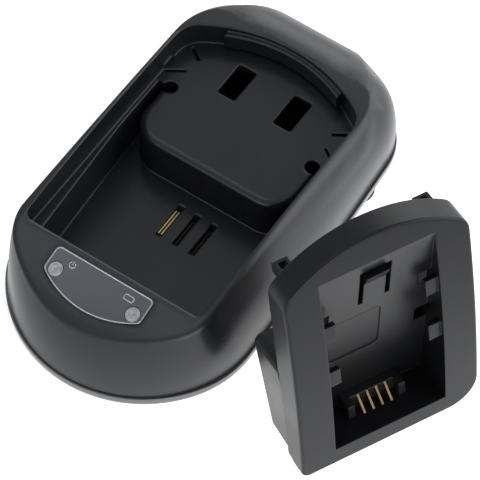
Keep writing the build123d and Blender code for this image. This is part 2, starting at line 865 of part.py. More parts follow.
# Carrier under the pocket floor, and one forked spring below each slot
with BuildPart() as contact_carrier:
    with BuildSketch(Plane.XY.offset(board_top)):
        with Locations((slot_offset, slot_y)):
            Rectangle(carrier_width, carrier_depth)
        with Locations(*[(x, slot_y) for x in slot_places]):
            Rectangle(spring_spread + 2 * fit_gap, spring_length + 2 * fit_gap, mode=Mode.SUBTRACT)
    extrude(amount=carrier_height)
contact_carrier.part.label = "contact_carrier"


def contact_spring(x, drop):
    """Forked spring: two leaves on a common foot, open upwards for a blade."""
    top = pocket_z - drop
    with BuildPart() as spring:
        with BuildSketch(Plane.XZ.offset(-slot_y - spring_length / 2)):
            with Locations((x, (board_top + top) / 2)):
                Rectangle(spring_spread, top - board_top)
            with Locations((x, (board_top + top) / 2 + spring_leaf)):
                Rectangle(spring_spread - 2 * spring_leaf, top - board_top, mode=Mode.SUBTRACT)
        extrude(amount=spring_length)
    return spring.part


contact_springs = [contact_spring(x, drop) for x, drop in zip(slot_places, spring_drops)]

# Battery plate. It is drawn where it lies when fitted in the bay, and every plane is then carried
# to the place where it stands.
stand_up = Plane(
    origin=(plate_place[0], plate_place[1], -plate_thickness * sin(lean)),
    x_dir=(cos(turn), sin(turn), 0),
    z_dir=(sin(turn) * cos(lean), -cos(turn) * cos(lean), sin(lean)),
)
stand = stand_up.location * Location((0, -plate_low, -shelf_z))
plate_axis = Axis((0, 0, 0), tuple(stand_up.z_dir))
length_axis = Axis((0, 0, 0), tuple(stand_up.y_dir))
width_axis = Axis((0, 0, 0), tuple(stand_up.x_dir))


def lying(height):
    """Plane of the fitted plate at a height, carried to where the plate stands."""
    return Plane(stand * Plane.XY.offset(height).location)


def upright(x):
    """Lengthwise section plane of the fitted plate, carried to where the plate stands."""
    return Plane(stand * Plane.YZ.offset(x).location)


def across(y):
    """Cross section plane of the fitted plate, carried to where the plate stands."""
    return Plane(stand * Plane.XZ.offset(-y).location)


def end_face(toe):
    """Side view of everything above the slanted lower end, moved up by the length of the toes."""
    low = -sky
    with BuildSketch() as side:
        with BuildLine():
            Polyline(
                (plate_low + toe + (shelf_z + plate_thickness - low) * tan(lean), low),
                (bay_far + bay_length, low),
                (bay_far + bay_length, 2 * sky),
                (plate_low + toe + (shelf_z + plate_thickness - 2 * sky) * tan(lean), 2 * sky),
                close=True,
            )
        make_face()
    return side.sketch


def box_face(shrink):
    """Plan of the box behind the plate, which fills the pocket."""
    near_half = pocket_near_width / 2 - box_clearance - shrink
    far_half = pocket_far_width / 2 - box_clearance - shrink
    far = step_y - box_clearance - shrink
    with BuildSketch() as plan:
        with BuildLine():
            Polyline(
                (-near_half, bay_front),
                (near_half, bay_front),
                (far_half, far),
                (-far_half, far),
                close=True,
            )
        make_face()
        fillet(plan.vertices().group_by(Axis.Y)[-1], radius=box_edge)
    return plan.sketch


def recess_floor(y):
    """Height of the sloping floor of the battery recess at a given Y."""
    high = crown_at(plate_low + recess_end)
    return recess_low + (high - recess_low) * (y - plate_low - recess_start) / (recess_end - recess_start)


def recess_solid(grow):
    """Battery recess as a solid, grown on its sides, floor and lower end."""
    start = plate_low + recess_start - grow
    end = plate_low + recess_end
    with BuildPart() as space:
        with BuildSketch(upright(0)):
            with BuildLine():
                Polyline(
                    (start, 2 * sky),
                    (start, recess_floor(start) - grow),
                    (end, recess_floor(end) - grow),
                    (end, 2 * sky),
                    close=True,
                )
            make_face()
        extrude(amount=recess_width / 2 + grow, both=True)
    return space.part


def latch_block(grow, depth):
    """Block behind the latch, grown on its sides, to a depth below the floor of the recess."""
    start = latch_low - grow
    end = latch_high + tongue_slot + grow
    with BuildPart() as block:
        with BuildSketch(upright(0)):
            with BuildLine():
                Polyline(
                    (start, recess_floor(start) - recess_wall / 2),
                    (end, recess_floor(end) - recess_wall / 2),
                    (end, recess_floor(end) - recess_wall - depth),
                    (start, recess_floor(start) - recess_wall - depth),
                    close=True,
                )
            make_face()
        extrude(amount=latch_width / 2 + tongue_slot + grow, both=True)
    return block.part


def above_end(toe):
    """Everything above the slanted lower end as a solid."""
    with BuildPart() as space:
        with BuildSketch(upright(0)):
            add(end_face(toe))
        extrude(amount=base_width, both=True)
    return space.part


def below_crown(inset):
    """Everything below the face of the plate as a solid."""
    with BuildPart() as space:
        with BuildSketch(upright(0)):
            add(crown_disc(inset))
        extrude(amount=base_width, both=True)
    return space.part


recess = recess_solid(0)
recess_tub = recess_solid(recess_wall)

# Space behind the face of the plate, open at the back
with BuildPart() as plate_back:
    with BuildSketch(lying(shelf_z)):
        add(bay_face(-plate_clearance - wall))
    extrude(amount=sky)
    add(below_crown(wall), mode=Mode.INTERSECT)
    add(above_end(plate_toe + wall), mode=Mode.INTERSECT)
    add(recess_tub, mode=Mode.SUBTRACT)

# Part of the recess's tub that reaches behind the plate
with BuildPart() as plate_tub:
    with BuildSketch(lying(pocket_z)):
        with Locations((0, plate_low + recess_end / 2)):
            Rectangle(bay_width, 2 * bay_length)
    extrude(amount=pocket_depth + wall)
    add(recess_tub, mode=Mode.INTERSECT)

# Two toes under the lower end
with BuildPart() as plate_toes:
    with BuildSketch(lying(shelf_z)):
        for middle, width in (toe_left, toe_right):
            with Locations((middle, plate_low + toe_depth / 2)):
                Rectangle(width, toe_depth)
    extrude(amount=toe_thickness)
    add(above_end(0), mode=Mode.INTERSECT)

# Hooks, pegs and screw posts that reach back from the face
with BuildPart() as plate_studs:
    with BuildSketch(lying(shelf_z - hook_drop)):
        with Locations(*[(x, hook_y) for x in hook_places]):
            Rectangle(hook_width, hook_length)
    extrude(amount=crown_at(hook_y) - wall / 2 - shelf_z + hook_drop)
    with BuildSketch(across(hook_y)):
        with Locations(*[(x, shelf_z - hook_drop + hook_wall + hook_eye / 2) for x in hook_places]):
            Rectangle(hook_eye, hook_eye)
    extrude(amount=hook_length, both=True, mode=Mode.SUBTRACT)
    with BuildSketch(lying(shelf_z - peg_length)):
        with Locations(*[(x, hole_y) for x in hole_places]):
            Circle(hole_diameter / 2 - peg_clearance)
    extrude(amount=crown_at(hole_y) - wall / 2 - shelf_z + peg_length)
    with BuildSketch(lying(cover_floor + cover_pad)):
        with Locations(*cover_screw_spots):
            Circle(cover_boss / 2)
    extrude(amount=crown_at(cover_screw_y) - wall / 2 - cover_floor - cover_pad)
    with BuildSketch(lying(cover_floor + cover_pad)):
        with Locations(*cover_screw_spots):
            Circle(cover_screw_diameter / 2 + fit_gap / 2)
    extrude(amount=cover_screw_length, mode=Mode.SUBTRACT)

# Sunk panel in the floor of the recess
with BuildPart() as sunk_panel:
    with BuildSketch(lying(pocket_z)):
        with Locations((sunk_offset, sunk_y)):
            RectangleRounded(sunk_width, sunk_length, sunk_corner)
    extrude(amount=sky)
    add(recess_solid(sunk_depth), mode=Mode.INTERSECT)

# Closed well behind the latch
with BuildPart() as latch_well:
    add(latch_block(recess_wall, latch_room + recess_wall))
    add(latch_block(0, latch_room), mode=Mode.SUBTRACT)


with BuildPart() as plate_front:
    with BuildSketch(lying(shelf_z)):
        add(bay_face(-plate_clearance))
    extrude(amount=sky)
    add(below_crown(0), mode=Mode.INTERSECT)
    add(above_end(plate_toe), mode=Mode.INTERSECT)
    end_edges = plate_front.faces().sort_by(length_axis)[0].edges().sort_by(width_axis)
    fillet(end_edges[0], radius=end_corner_left)
    end_edges = plate_front.faces().sort_by(length_axis)[0].edges().sort_by(width_axis)
    fillet(end_edges[-1], radius=end_corner_right)
    fillet(plate_front.faces().sort_by(plate_axis)[-1].edges(), radius=face_edge)
    add(plate_back.part, mode=Mode.SUBTRACT)
    add(plate_toes.part)
    add(plate_studs.part)
    add(plate_tub.part)
    add(recess, mode=Mode.SUBTRACT)
    add(sunk_panel.part, mode=Mode.SUBTRACT)
    # U-shaped slot that frees the latch tongue, and the wedge at the tongue's end
    with BuildSketch(lying(shelf_z)):
        with Locations((0, latch_low + (latch_length + tongue_slot) / 2)):
            Rectangle(latch_width + 2 * tongue_slot, latch_length + tongue_slot)
        with Locations((0, latch_low + latch_length / 2)):
            Rectangle(latch_width, latch_length, mode=Mode.SUBTRACT)
    extrude(amount=sky, mode=Mode.SUBTRACT)
    with BuildSketch(upright(0)):
        with BuildLine():
            Polyline(
                (latch_high - latch_head, recess_floor(latch_high - latch_head) - recess_wall / 2),
                (latch_high, recess_floor(latch_high) - recess_wall / 2),
                (latch_high, recess_floor(latch_high) + latch_bump),
                (latch_high - latch_head, recess_floor(latch_high - latch_head)),
                close=True,
            )
        make_face()
    extrude(amount=latch_width / 2, both=True)
    add(latch_well.part)
    # Square holes in the floor, and a rail over each of them
    for low in rail_lows:
        rail_z = crown_at(low) - rail_sink - rail_height
        with BuildSketch(lying(pocket_z)):
            with Locations(*[(side * rail_mid_x, low + rail_length / 2) for side in (-1, 1)]):
                Rectangle(rail_reach, rail_length)
        extrude(amount=rail_z - pocket_z, mode=Mode.SUBTRACT)
        with BuildSketch(lying(rail_z)):
            with Locations(*[(side * rail_x, low + rail_length / 2) for side in (-1, 1)]):
                Rectangle(rail_reach + recess_wall, rail_length)
        extrude(amount=rail_height)
plate_front.part.label = "plate_front"

# Cover of the box behind the plate
with BuildPart() as cover_space:
    with BuildSketch(lying(cover_floor)):
        add(box_face(cover_wall))
    extrude(amount=pocket_depth)
    add(above_end(cover_wall / cos(lean)), mode=Mode.INTERSECT)

with BuildPart() as plate_rear_cover:
    with BuildSketch(lying(cover_low)):
        add(box_face(0))
    extrude(amount=shelf_z - cover_low)
    add(above_end(0), mode=Mode.INTERSECT)
    fillet(plate_rear_cover.faces().sort_by(plate_axis)[0].edges(), radius=box_edge - cover_wall / 2)
    add(cover_space.part, mode=Mode.SUBTRACT)
    add(recess_solid(recess_wall + fit_gap), mode=Mode.SUBTRACT)
    with BuildSketch(lying(cover_floor)):
        with Locations(*cover_screw_spots):
            Circle(cover_boss / 2)
    extrude(amount=cover_pad)
    with BuildSketch(lying(cover_floor)):
        with Locations(*[(0, inner_board_y + side * inner_rib_pitch / 2) for side in (-1, 1)]):
            Rectangle(inner_board_width, inner_rib)
    extrude(amount=inner_board_rise)
    with BuildSketch(lying(cover_low)):
        with Locations(*cover_screw_spots):
            Circle(cover_screw_head / 2 + fit_gap)
    extrude(amount=cover_screw_head_height, mode=Mode.SUBTRACT)
    with BuildSketch(lying(cover_low)):
        with Locations(*cover_screw_spots):
            Circle(cover_screw_diameter / 2 + fit_gap)
        with Locations(*[(x, slot_y) for x in slot_places]):
            Rectangle(blade_thickness + 2 * fit_gap, blade_length + 2 * fit_gap)
    extrude(amount=cover_wall + cover_pad, mode=Mode.SUBTRACT)
plate_rear_cover.part.label = "plate_rear_cover"

with BuildPart() as plate_screws:
    with BuildSketch(lying(cover_low)):
        with Locations(*cover_screw_spots):
            Circle(cover_screw_head / 2)
    extrude(amount=cover_screw_head_height)
    with BuildSketch(lying(cover_low)):
        with Locations(*cover_screw_spots):
            Circle(cover_screw_diameter / 2)
    extrude(amount=cover_screw_head_height + cover_screw_length)
plate_screws.part.label = "plate_screws"

with BuildPart() as plate_board:
    with BuildSketch(lying(inner_board_low)):
        with Locations((0, inner_board_y)):
            Rectangle(inner_board_width, inner_board_length)
    extrude(amount=inner_board_thickness)
plate_board.part.label = "plate_board"


def blade(x):
    """Flat contact blade from the inner board out through the back of the cover."""
    with BuildPart() as strip:
        with BuildSketch(lying(inner_board_low)):
            with Locations((x, slot_y)):
                Rectangle(blade_thickness, blade_length)
        extrude(amount=cover_low - blade_reach - inner_board_low)
    return strip.part


plate_blades = [blade(x) for x in slot_places]

# Contact block at the lower end of the recess with its two end posts, and the row of fins on it
with BuildPart() as plate_contact_block:
    with BuildSketch(lying(pocket_z)):
        with Locations((0, block_y)):
            Rectangle(block_width, block_depth)
    extrude(amount=block_top - pocket_z)
    with BuildSketch(lying(block_top)):
        with Locations(*[(side * (block_width - block_post) / 2, block_y) for side in (-1, 1)]):
            Rectangle(block_post, block_depth)
    extrude(amount=block_post_height)
    add(recess, mode=Mode.INTERSECT)
plate_contact_block.part.label = "plate_contact_block"

with BuildPart() as plate_contacts:
    with BuildSketch(*[upright(x) for x in fin_places]):
        with BuildLine():
            Polyline(
                (block_y + fin_depth / 2, block_top),
                (block_y - fin_depth / 2, block_top),
                (block_y - fin_depth / 2, block_top + fin_height),
                close=True,
            )
        make_face()
    extrude(amount=fin_thickness / 2, both=True)
plate_contacts.part.label = "plate_contacts"

os.makedirs("parts", exist_ok=True)
export_step(top_shell.part, "parts/top_shell.step")
export_step(bottom_shell.part, "parts/bottom_shell.step")
export_step(rubber_feet.part, "parts/rubber_feet.step")
export_step(case_screws.part, "parts/case_screws.step")
export_step(indicator_panel.part, "parts/indicator_panel.step")
export_step(status_lens, "parts/status_lens.step")
export_step(charge_lens, "parts/charge_lens.step")
export_step(status_led, "parts/status_led.step")
export_step(charge_led, "parts/charge_led.step")
export_step(main_board.part, "parts/main_board.step")
export_step(transformer_core.part, "parts/transformer_core.step")
export_step(transformer_winding.part, "parts/transformer_winding.step")
export_step(input_capacitor, "parts/input_capacitor.step")
export_step(output_capacitor, "parts/output_capacitor.step")
export_step(heat_sink.part, "parts/heat_sink.step")
export_step(switching_transistor.part, "parts/switching_transistor.step")
export_step(controller_chip.part, "parts/controller_chip.step")
export_step(power_inlet.part, "parts/power_inlet.step")
export_step(contact_carrier.part, "parts/contact_carrier.step")
for number, spring in enumerate(contact_springs, start=1):
    spring.label = f"contact_spring_{number}"
    export_step(spring, f"parts/contact_spring_{number}.step")
export_step(plate_front.part, "parts/plate_front.step")
export_step(plate_rear_cover.part, "parts/plate_rear_cover.step")
export_step(plate_contact_block.part, "parts/plate_contact_block.step")
export_step(plate_contacts.part, "parts/plate_contacts.step")
export_step(plate_board.part, "parts/plate_board.step")
export_step(plate_screws.part, "parts/plate_screws.step")
for number, strip in enumerate(plate_blades, start=1):
    strip.label = f"plate_blade_{number}"
    export_step(strip, f"parts/plate_blade_{number}.step")
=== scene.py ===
import json
import logging
import math
from dataclasses import dataclass, field, replace
from enum import Enum
from typing import ClassVar

import bmesh
import bpy
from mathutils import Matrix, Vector

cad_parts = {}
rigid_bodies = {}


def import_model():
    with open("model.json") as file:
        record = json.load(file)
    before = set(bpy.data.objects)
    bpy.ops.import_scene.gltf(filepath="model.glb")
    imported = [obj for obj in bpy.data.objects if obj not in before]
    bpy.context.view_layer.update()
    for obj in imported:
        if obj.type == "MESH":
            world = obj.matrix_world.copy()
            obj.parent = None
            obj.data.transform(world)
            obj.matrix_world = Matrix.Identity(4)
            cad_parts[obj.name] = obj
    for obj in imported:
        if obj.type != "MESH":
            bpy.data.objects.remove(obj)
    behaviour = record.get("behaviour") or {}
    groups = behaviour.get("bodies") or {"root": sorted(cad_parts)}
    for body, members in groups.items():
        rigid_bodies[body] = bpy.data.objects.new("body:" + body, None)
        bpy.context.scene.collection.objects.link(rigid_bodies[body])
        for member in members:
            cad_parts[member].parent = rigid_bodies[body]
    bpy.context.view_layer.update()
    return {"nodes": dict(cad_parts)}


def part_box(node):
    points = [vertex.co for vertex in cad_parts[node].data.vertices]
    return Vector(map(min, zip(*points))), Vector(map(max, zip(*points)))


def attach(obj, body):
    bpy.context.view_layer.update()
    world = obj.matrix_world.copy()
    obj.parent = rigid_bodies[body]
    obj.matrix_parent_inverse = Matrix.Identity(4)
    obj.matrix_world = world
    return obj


for leftover in list(bpy.data.objects):
    bpy.data.objects.remove(leftover, do_unlink=True)
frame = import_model()

MM = 0.001
WELD = 0.01 * MM
CROSS_ARM = (2.2 * MM, 0.55 * MM, 0.06 * MM)
LOG = logging.getLogger("charger")

# Noise values between which clouds and veils run from none to full.
CLOUD_LOW, CLOUD_HIGH = 0.3, 0.7
VEIL_LOW, VEIL_HIGH = 0.35, 0.65
# Distance from a speck's middle, in shares of its cell.
DUST_CORE, DUST_RIM = 0.08, 0.2
# Agreement of rounded and plain normal where edge wear and painted edge highlight start and are full.
EDGE_STARTS, EDGE_FULL = 0.985, 0.86
WEAR_AND_HIGHLIGHT_LEAST = 0.25
# Upward part of a normal on walls, rims and crown.
WALL_TILT, RIM_TILT, CROWN_TILT = 0.5, 0.75, 0.95
BEVEL_SAMPLES = 8
METAL_BEVEL_SAMPLES = 4
# Sockets of the colour mix, which have the same names for every kind of mix.
MIX_SHARE, MIX_FIRST, MIX_SECOND, MIX_RESULT = 0, 6, 7, 2
DOWN = (0.0, 0.0, -1.0)

Colour = tuple[float, float, float]
Place = tuple[float, float, float]
Spot = tuple[float, float]
Span = tuple[float, float]


class Direction(Enum):
    """Ways a fine pattern can run over a surface."""

    EVEN = (1.0, 1.0, 1.0)
    LENGTHWISE = (1.0, 0.06, 1.0)
    UPRIGHT = (1.0, 1.0, 0.06)


class Sheet:
    """A node tree that is being filled, for shaders and for geometry alike."""

    def __init__(self, tree: bpy.types.NodeTree) -> None:
        """Take an empty tree.

        Args:
            tree: the tree to fill.
        """
        self.tree = tree

    def add(self, kind: str, values: dict | None = None, **settings: object) -> bpy.types.Node:
        """Add one node.

        Args:
            kind: Blender's name for the node type.
            values: input socket name or number to a constant or to an output socket.
            settings: properties of the node itself.

        Returns:
            The new node.
        """
        node = self.tree.nodes.new(kind)
        for name, value in settings.items():
            setattr(node, name, value)
        for key, value in (values or {}).items():
            self.feed(node.inputs[key], value)
        return node

    def feed(self, socket: bpy.types.NodeSocket, value: object) -> None:
        """Link an output to a socket, or set the socket to a constant.

        Args:
            socket: the input socket.
            value: an output socket, a colour, a vector or a number.
        """
        if isinstance(value, bpy.types.NodeSocket):
            self.tree.links.new(value, socket)
        elif socket.type == "RGBA" and len(value) == 3:
            socket.default_value = (*value, 1.0)
        else:
            socket.default_value = value

    def math(self, operation: str, first: object, second: object = 0.0) -> bpy.types.NodeSocket:
        """One step of arithmetic.

        Args:
            operation: Blender's name of the operation.
            first: first number or output.
            second: second number or output.

        Returns:
            The result's socket.
        """
        node = self.add("ShaderNodeMath", {0: first, 1: second}, operation=operation)
        return node.outputs[0]

    def spread(self, value: object, low: float, high: float, to_low: float, to_high: float) -> bpy.types.NodeSocket:
        """Map a value from one range to another, held at both ends.

        Args:
            value: the output to map.
            low: start of the old range.
            high: end of the old range.
            to_low: start of the new range.
            to_high: end of the new range.

        Returns:
            The mapped value's socket.
        """
        limits = {"From Min": low, "From Max": high, "To Min": to_low, "To Max": to_high}
        node = self.add("ShaderNodeMapRange", {"Value": value, **limits}, clamp=True)
        return node.outputs["Result"]

    def blend(self, share: object, first: object, second: object) -> bpy.types.NodeSocket:
        """Mix two colours.

        Args:
            share: how much of the second colour shows.
            first: colour at share 0.
            second: colour at share 1.

        Returns:
            The mixed colour's socket.
        """
        node = self.add("ShaderNodeMix", data_type="RGBA", clamp_factor=True)
        self.feed(node.inputs[MIX_SHARE], share)
        self.feed(node.inputs[MIX_FIRST], first)
        self.feed(node.inputs[MIX_SECOND], second)
        return node.outputs[MIX_RESULT]


class Effects:
    """Shader groups that several finishes share. Each is built once."""

    built: dict[str, bpy.types.NodeTree] = {}

    @classmethod
    def group(
        cls, name: str, inputs: dict[str, tuple], outputs: dict[str, str]
    ) -> tuple[Sheet, bpy.types.NodeOutputs, bpy.types.Node]:
        """Start a shader group with named sockets.

        Args:
            name: the group's name.
            inputs: socket name to its type and default.
            outputs: socket name to its type.

        Returns:
            The sheet to fill, the input sockets by name and the output node.
        """
        tree = bpy.data.node_groups.new(name, "ShaderNodeTree")
        for label, (kind, default) in inputs.items():
            socket = tree.interface.new_socket(label, in_out="INPUT", socket_type=kind)
            if default is not None:
                socket.default_value = default
        for label, kind in outputs.items():
            tree.interface.new_socket(label, in_out="OUTPUT", socket_type=kind)
        sheet = Sheet(tree)
        inward = sheet.add("NodeGroupInput")
        outward = sheet.add("NodeGroupOutput")
        cls.built[name] = tree
        return sheet, inward.outputs, outward

    @classmethod
    def grain(cls) -> bpy.types.NodeTree:
        """Moulded grain: fine pits with a slow swell under them.

        Returns:
            The group.
        """
        if "moulded_grain" in cls.built:
            return cls.built["moulded_grain"]
        sheet, given, out = cls.group(
            "moulded_grain",
            {
                "Vector": ("NodeSocketVector", None),
                "Pitch": ("NodeSocketFloat", 2600.0),
                "Swell": ("NodeSocketFloat", 90.0),
                "Swell Share": ("NodeSocketFloat", 0.3),
            },
            {"Height": "NodeSocketFloat", "Pits": "NodeSocketFloat"},
        )
        fine = sheet.add(
            "ShaderNodeTexNoise",
            {"Vector": given["Vector"], "Scale": given["Pitch"], "Detail": 3.0, "Roughness": 0.6},
        )
        cells = sheet.add("ShaderNodeTexVoronoi", {"Vector": given["Vector"], "Scale": given["Pitch"]})
        slow = sheet.add("ShaderNodeTexNoise", {"Vector": given["Vector"], "Scale": given["Swell"], "Detail": 2.0})
        pits = sheet.math("MULTIPLY", fine.outputs["Fac"], cells.outputs["Distance"])
        swell = sheet.math("MULTIPLY", slow.outputs["Fac"], given["Swell Share"])
        sheet.feed(out.inputs["Height"], sheet.math("ADD", pits, swell))
        sheet.feed(out.inputs["Pits"], pits)
        return cls.built["moulded_grain"]

    @classmethod
    def mottle(cls) -> bpy.types.NodeTree:
        """Slow cloudy change over a surface with a few specks of dust.

        Returns:
            The group.
        """
        if "cloud_and_dust" in cls.built:
            return cls.built["cloud_and_dust"]
        sheet, given, out = cls.group(
            "cloud_and_dust",
            {
                "Vector": ("NodeSocketVector", None),
                "Cloud Scale": ("NodeSocketFloat", 60.0),
                "Dust Scale": ("NodeSocketFloat", 700.0),
                "Dust Cover": ("NodeSocketFloat", 0.1),
            },
            {"Cloud": "NodeSocketFloat", "Dust": "NodeSocketFloat"},
        )
        cloud = sheet.add(
            "ShaderNodeTexNoise",
            {"Vector": given["Vector"], "Scale": given["Cloud Scale"], "Detail": 4.0, "Roughness": 0.55},
        )
        specks = sheet.add("ShaderNodeTexVoronoi", {"Vector": given["Vector"], "Scale": given["Dust Scale"]})
        chosen = sheet.add("ShaderNodeSeparateColor", {"Color": specks.outputs["Color"]})
        kept = sheet.math("LESS_THAN", chosen.outputs["Red"], given["Dust Cover"])
        near = sheet.spread(specks.outputs["Distance"], DUST_CORE, DUST_RIM, 1.0, 0.0)
        sheet.feed(out.inputs["Cloud"], cloud.outputs["Fac"])
        sheet.feed(out.inputs["Dust"], sheet.math("MULTIPLY", kept, near))
        return cls.built["cloud_and_dust"]

    @classmethod
    def edge_wear_and_highlight(cls) -> bpy.types.NodeTree:
        """Edges paled as wear and as a painted edge highlight: where the rounded normal leaves the true one, broken
        up by noise.

        Returns:
            The group.
        """
        if "worn_and_highlit_edges" in cls.built:
            return cls.built["worn_and_highlit_edges"]
        sheet, given, out = cls.group(
            "worn_and_highlit_edges",
            {
                "Vector": ("NodeSocketVector", None),
                "Round Normal": ("NodeSocketVector", None),
                "Plain Normal": ("NodeSocketVector", None),
                "Break Up": ("NodeSocketFloat", 300.0),
            },
            {"Mask": "NodeSocketFloat"},
        )
        turned = sheet.add(
            "ShaderNodeVectorMath",
            {0: given["Round Normal"], 1: given["Plain Normal"]},
            operation="DOT_PRODUCT",
        )
        edge = sheet.spread(turned.outputs["Value"], EDGE_STARTS, EDGE_FULL, 0.0, 1.0)
        noise = sheet.add(
            "ShaderNodeTexNoise",
            {"Vector": given["Vector"], "Scale": given["Break Up"], "Detail": 3.0},
        )
        patchy = sheet.spread(noise.outputs["Fac"], CLOUD_LOW, CLOUD_HIGH, WEAR_AND_HIGHLIGHT_LEAST, 1.0)
        sheet.feed(out.inputs["Mask"], sheet.math("MULTIPLY", edge, patchy))
        return cls.built["worn_and_highlit_edges"]


@dataclass(frozen=True)
class Finish:
    """What every finish has: a name, a colour and how the light meets it."""

    name: str
    colour: Colour
    roughness: float

    def start(self) -> tuple[bpy.types.Material, Sheet, bpy.types.Node, bpy.types.NodeSocket]:
        """Make the material with its shader.

        Returns:
            The material, its sheet, the shader node and the socket of Object coordinates.
        """
        material = bpy.data.materials.new(self.name)
        material.use_nodes = True
        material.node_tree.nodes.clear()
        sheet = Sheet(material.node_tree)
        shader = sheet.add("ShaderNodeBsdfPrincipled", {"Base Color": self.colour, "Roughness": self.roughness})
        sheet.add("ShaderNodeOutputMaterial", {"Surface": shader.outputs["BSDF"]})
        place = sheet.add("ShaderNodeTexCoord")
        return material, sheet, shader, place.outputs["Object"]

    def build(self) -> bpy.types.Material:
        """Make the material.

        Returns:
            The finished material.
        """
        return self.start()[0]


@dataclass(frozen=True)
class LitFloor(Finish):
    """Pale table that is softly lit from below, most in the middle."""

    glow: float = 1.0
    far_glow: float = 0.3
    middle: Place = (75 * MM, 0.0, 0.0)
    near: float = 45 * MM
    far: float = 140 * MM

    def build(self) -> bpy.types.Material:
        """Make the material.

        Returns:
            The finished material.
        """
        material, sheet, shader, place = self.start()
        shader.inputs["Emission Color"].default_value = (*self.colour, 1.0)
        away = sheet.add("ShaderNodeVectorMath", {0: place, 1: self.middle}, operation="DISTANCE")
        light = sheet.spread(away.outputs["Value"], self.near, self.far, self.glow, self.far_glow)
        sheet.feed(shader.inputs["Emission Strength"], light)
        return material


@dataclass(frozen=True)
class Crease:
    """Softening of a shell around its open bay: wide high edges, rolled rims and bellied flanks.

    Attributes:
        near_radius: edge radius at the bay's near end.
        far_radius: edge radius at its far end.
        half_width: half the width of the bay with its rims' inner edges.
        near: where the bay starts.
        far: where it ends.
        low: height below which edges stay sharp.
        foot: lower end of the belly.
        brow: upper end of the belly.
        low_radius: edge radius below that height.
        roll: how far the rims lean out.
        belly: how far the flanks bulge.
        fade: width of each soft border.
    """

    near_radius: float
    far_radius: float
    half_width: float
    near: float
    far: float
    low: float
    foot: float
    brow: float
    low_radius: float = 0.15 * MM
    roll: float = 0.45
    belly: float = 0.18
    fade: float = 1.5 * MM

    def around(self, sheet: Sheet, axes: bpy.types.Node) -> bpy.types.NodeSocket:
        """Mask of what lies outside the box seen from above.

        Args:
            sheet: the material's sheet.
            axes: node that holds the place's three numbers.

        Returns:
            The mask's socket.
        """
        across = sheet.math("ABSOLUTE", axes.outputs["X"])
        sideways = sheet.spread(across, self.half_width, self.half_width + self.fade, 0.0, 1.0)
        front = sheet.spread(axes.outputs["Y"], self.near - self.fade, self.near, 1.0, 0.0)
        back = sheet.spread(axes.outputs["Y"], self.far, self.far + self.fade, 0.0, 1.0)
        return sheet.math("MAXIMUM", sideways, sheet.math("MAXIMUM", front, back))

    def radius_at(self, sheet: Sheet, place: bpy.types.NodeSocket, inside: float) -> bpy.types.NodeSocket:
        """Edge radius at a place.

        Args:
            sheet: the material's sheet.
            place: socket of Object coordinates.
            inside: radius inside the box.

        Returns:
            The radius' socket.
        """
        axes = sheet.add("ShaderNodeSeparateXYZ", {"Vector": place})
        above = sheet.spread(axes.outputs["Z"], self.low, self.low + self.fade, 0.0, 1.0)
        radius = sheet.spread(axes.outputs["Y"], self.near, self.far, self.near_radius, self.far_radius)
        wider = sheet.math("MULTIPLY", above, sheet.math("SUBTRACT", radius, self.low_radius))
        outside = sheet.math("ADD", wider, self.low_radius)
        change = sheet.math("MULTIPLY", self.around(sheet, axes), sheet.math("SUBTRACT", outside, inside))
        return sheet.math("ADD", change, inside)

    def shaped(self, sheet: Sheet, place: bpy.types.NodeSocket, normal: bpy.types.NodeSocket) -> bpy.types.NodeSocket:
        """Normal with the narrow rims rolled over towards the flanks, and the flanks bellied.

        Args:
            sheet: the material's sheet.
            place: socket of Object coordinates.
            normal: the normal to shape.

        Returns:
            The shaped normal's socket.
        """
        axes = sheet.add("ShaderNodeSeparateXYZ", {"Vector": place})
        facing = sheet.add("ShaderNodeSeparateXYZ", {"Vector": normal})
        across = sheet.math("ABSOLUTE", axes.outputs["X"])
        beside = sheet.spread(across, self.half_width, self.half_width + self.fade, 0.0, self.roll)
        upward = sheet.spread(facing.outputs["Z"], RIM_TILT, CROWN_TILT, 0.0, 1.0)
        side = sheet.math("SIGN", axes.outputs["X"])
        outward = sheet.math("MULTIPLY", side, sheet.math("MULTIPLY", beside, upward))
        upright = sheet.spread(sheet.math("ABSOLUTE", facing.outputs["Z"]), WALL_TILT, RIM_TILT, 1.0, 0.0)
        bow = sheet.spread(axes.outputs["Z"], self.foot, self.brow, -self.belly, self.belly)
        flank = sheet.math("MULTIPLY", upright, self.around(sheet, axes))
        push = sheet.add("ShaderNodeCombineXYZ", {"X": outward, "Z": sheet.math("MULTIPLY", flank, bow)})
        turned = sheet.add("ShaderNodeVectorMath", {0: normal, 1: push.outputs["Vector"]}, operation="ADD")
        unit = sheet.add("ShaderNodeVectorMath", {0: turned.outputs["Vector"]}, operation="NORMALIZE")
        return unit.outputs["Vector"]


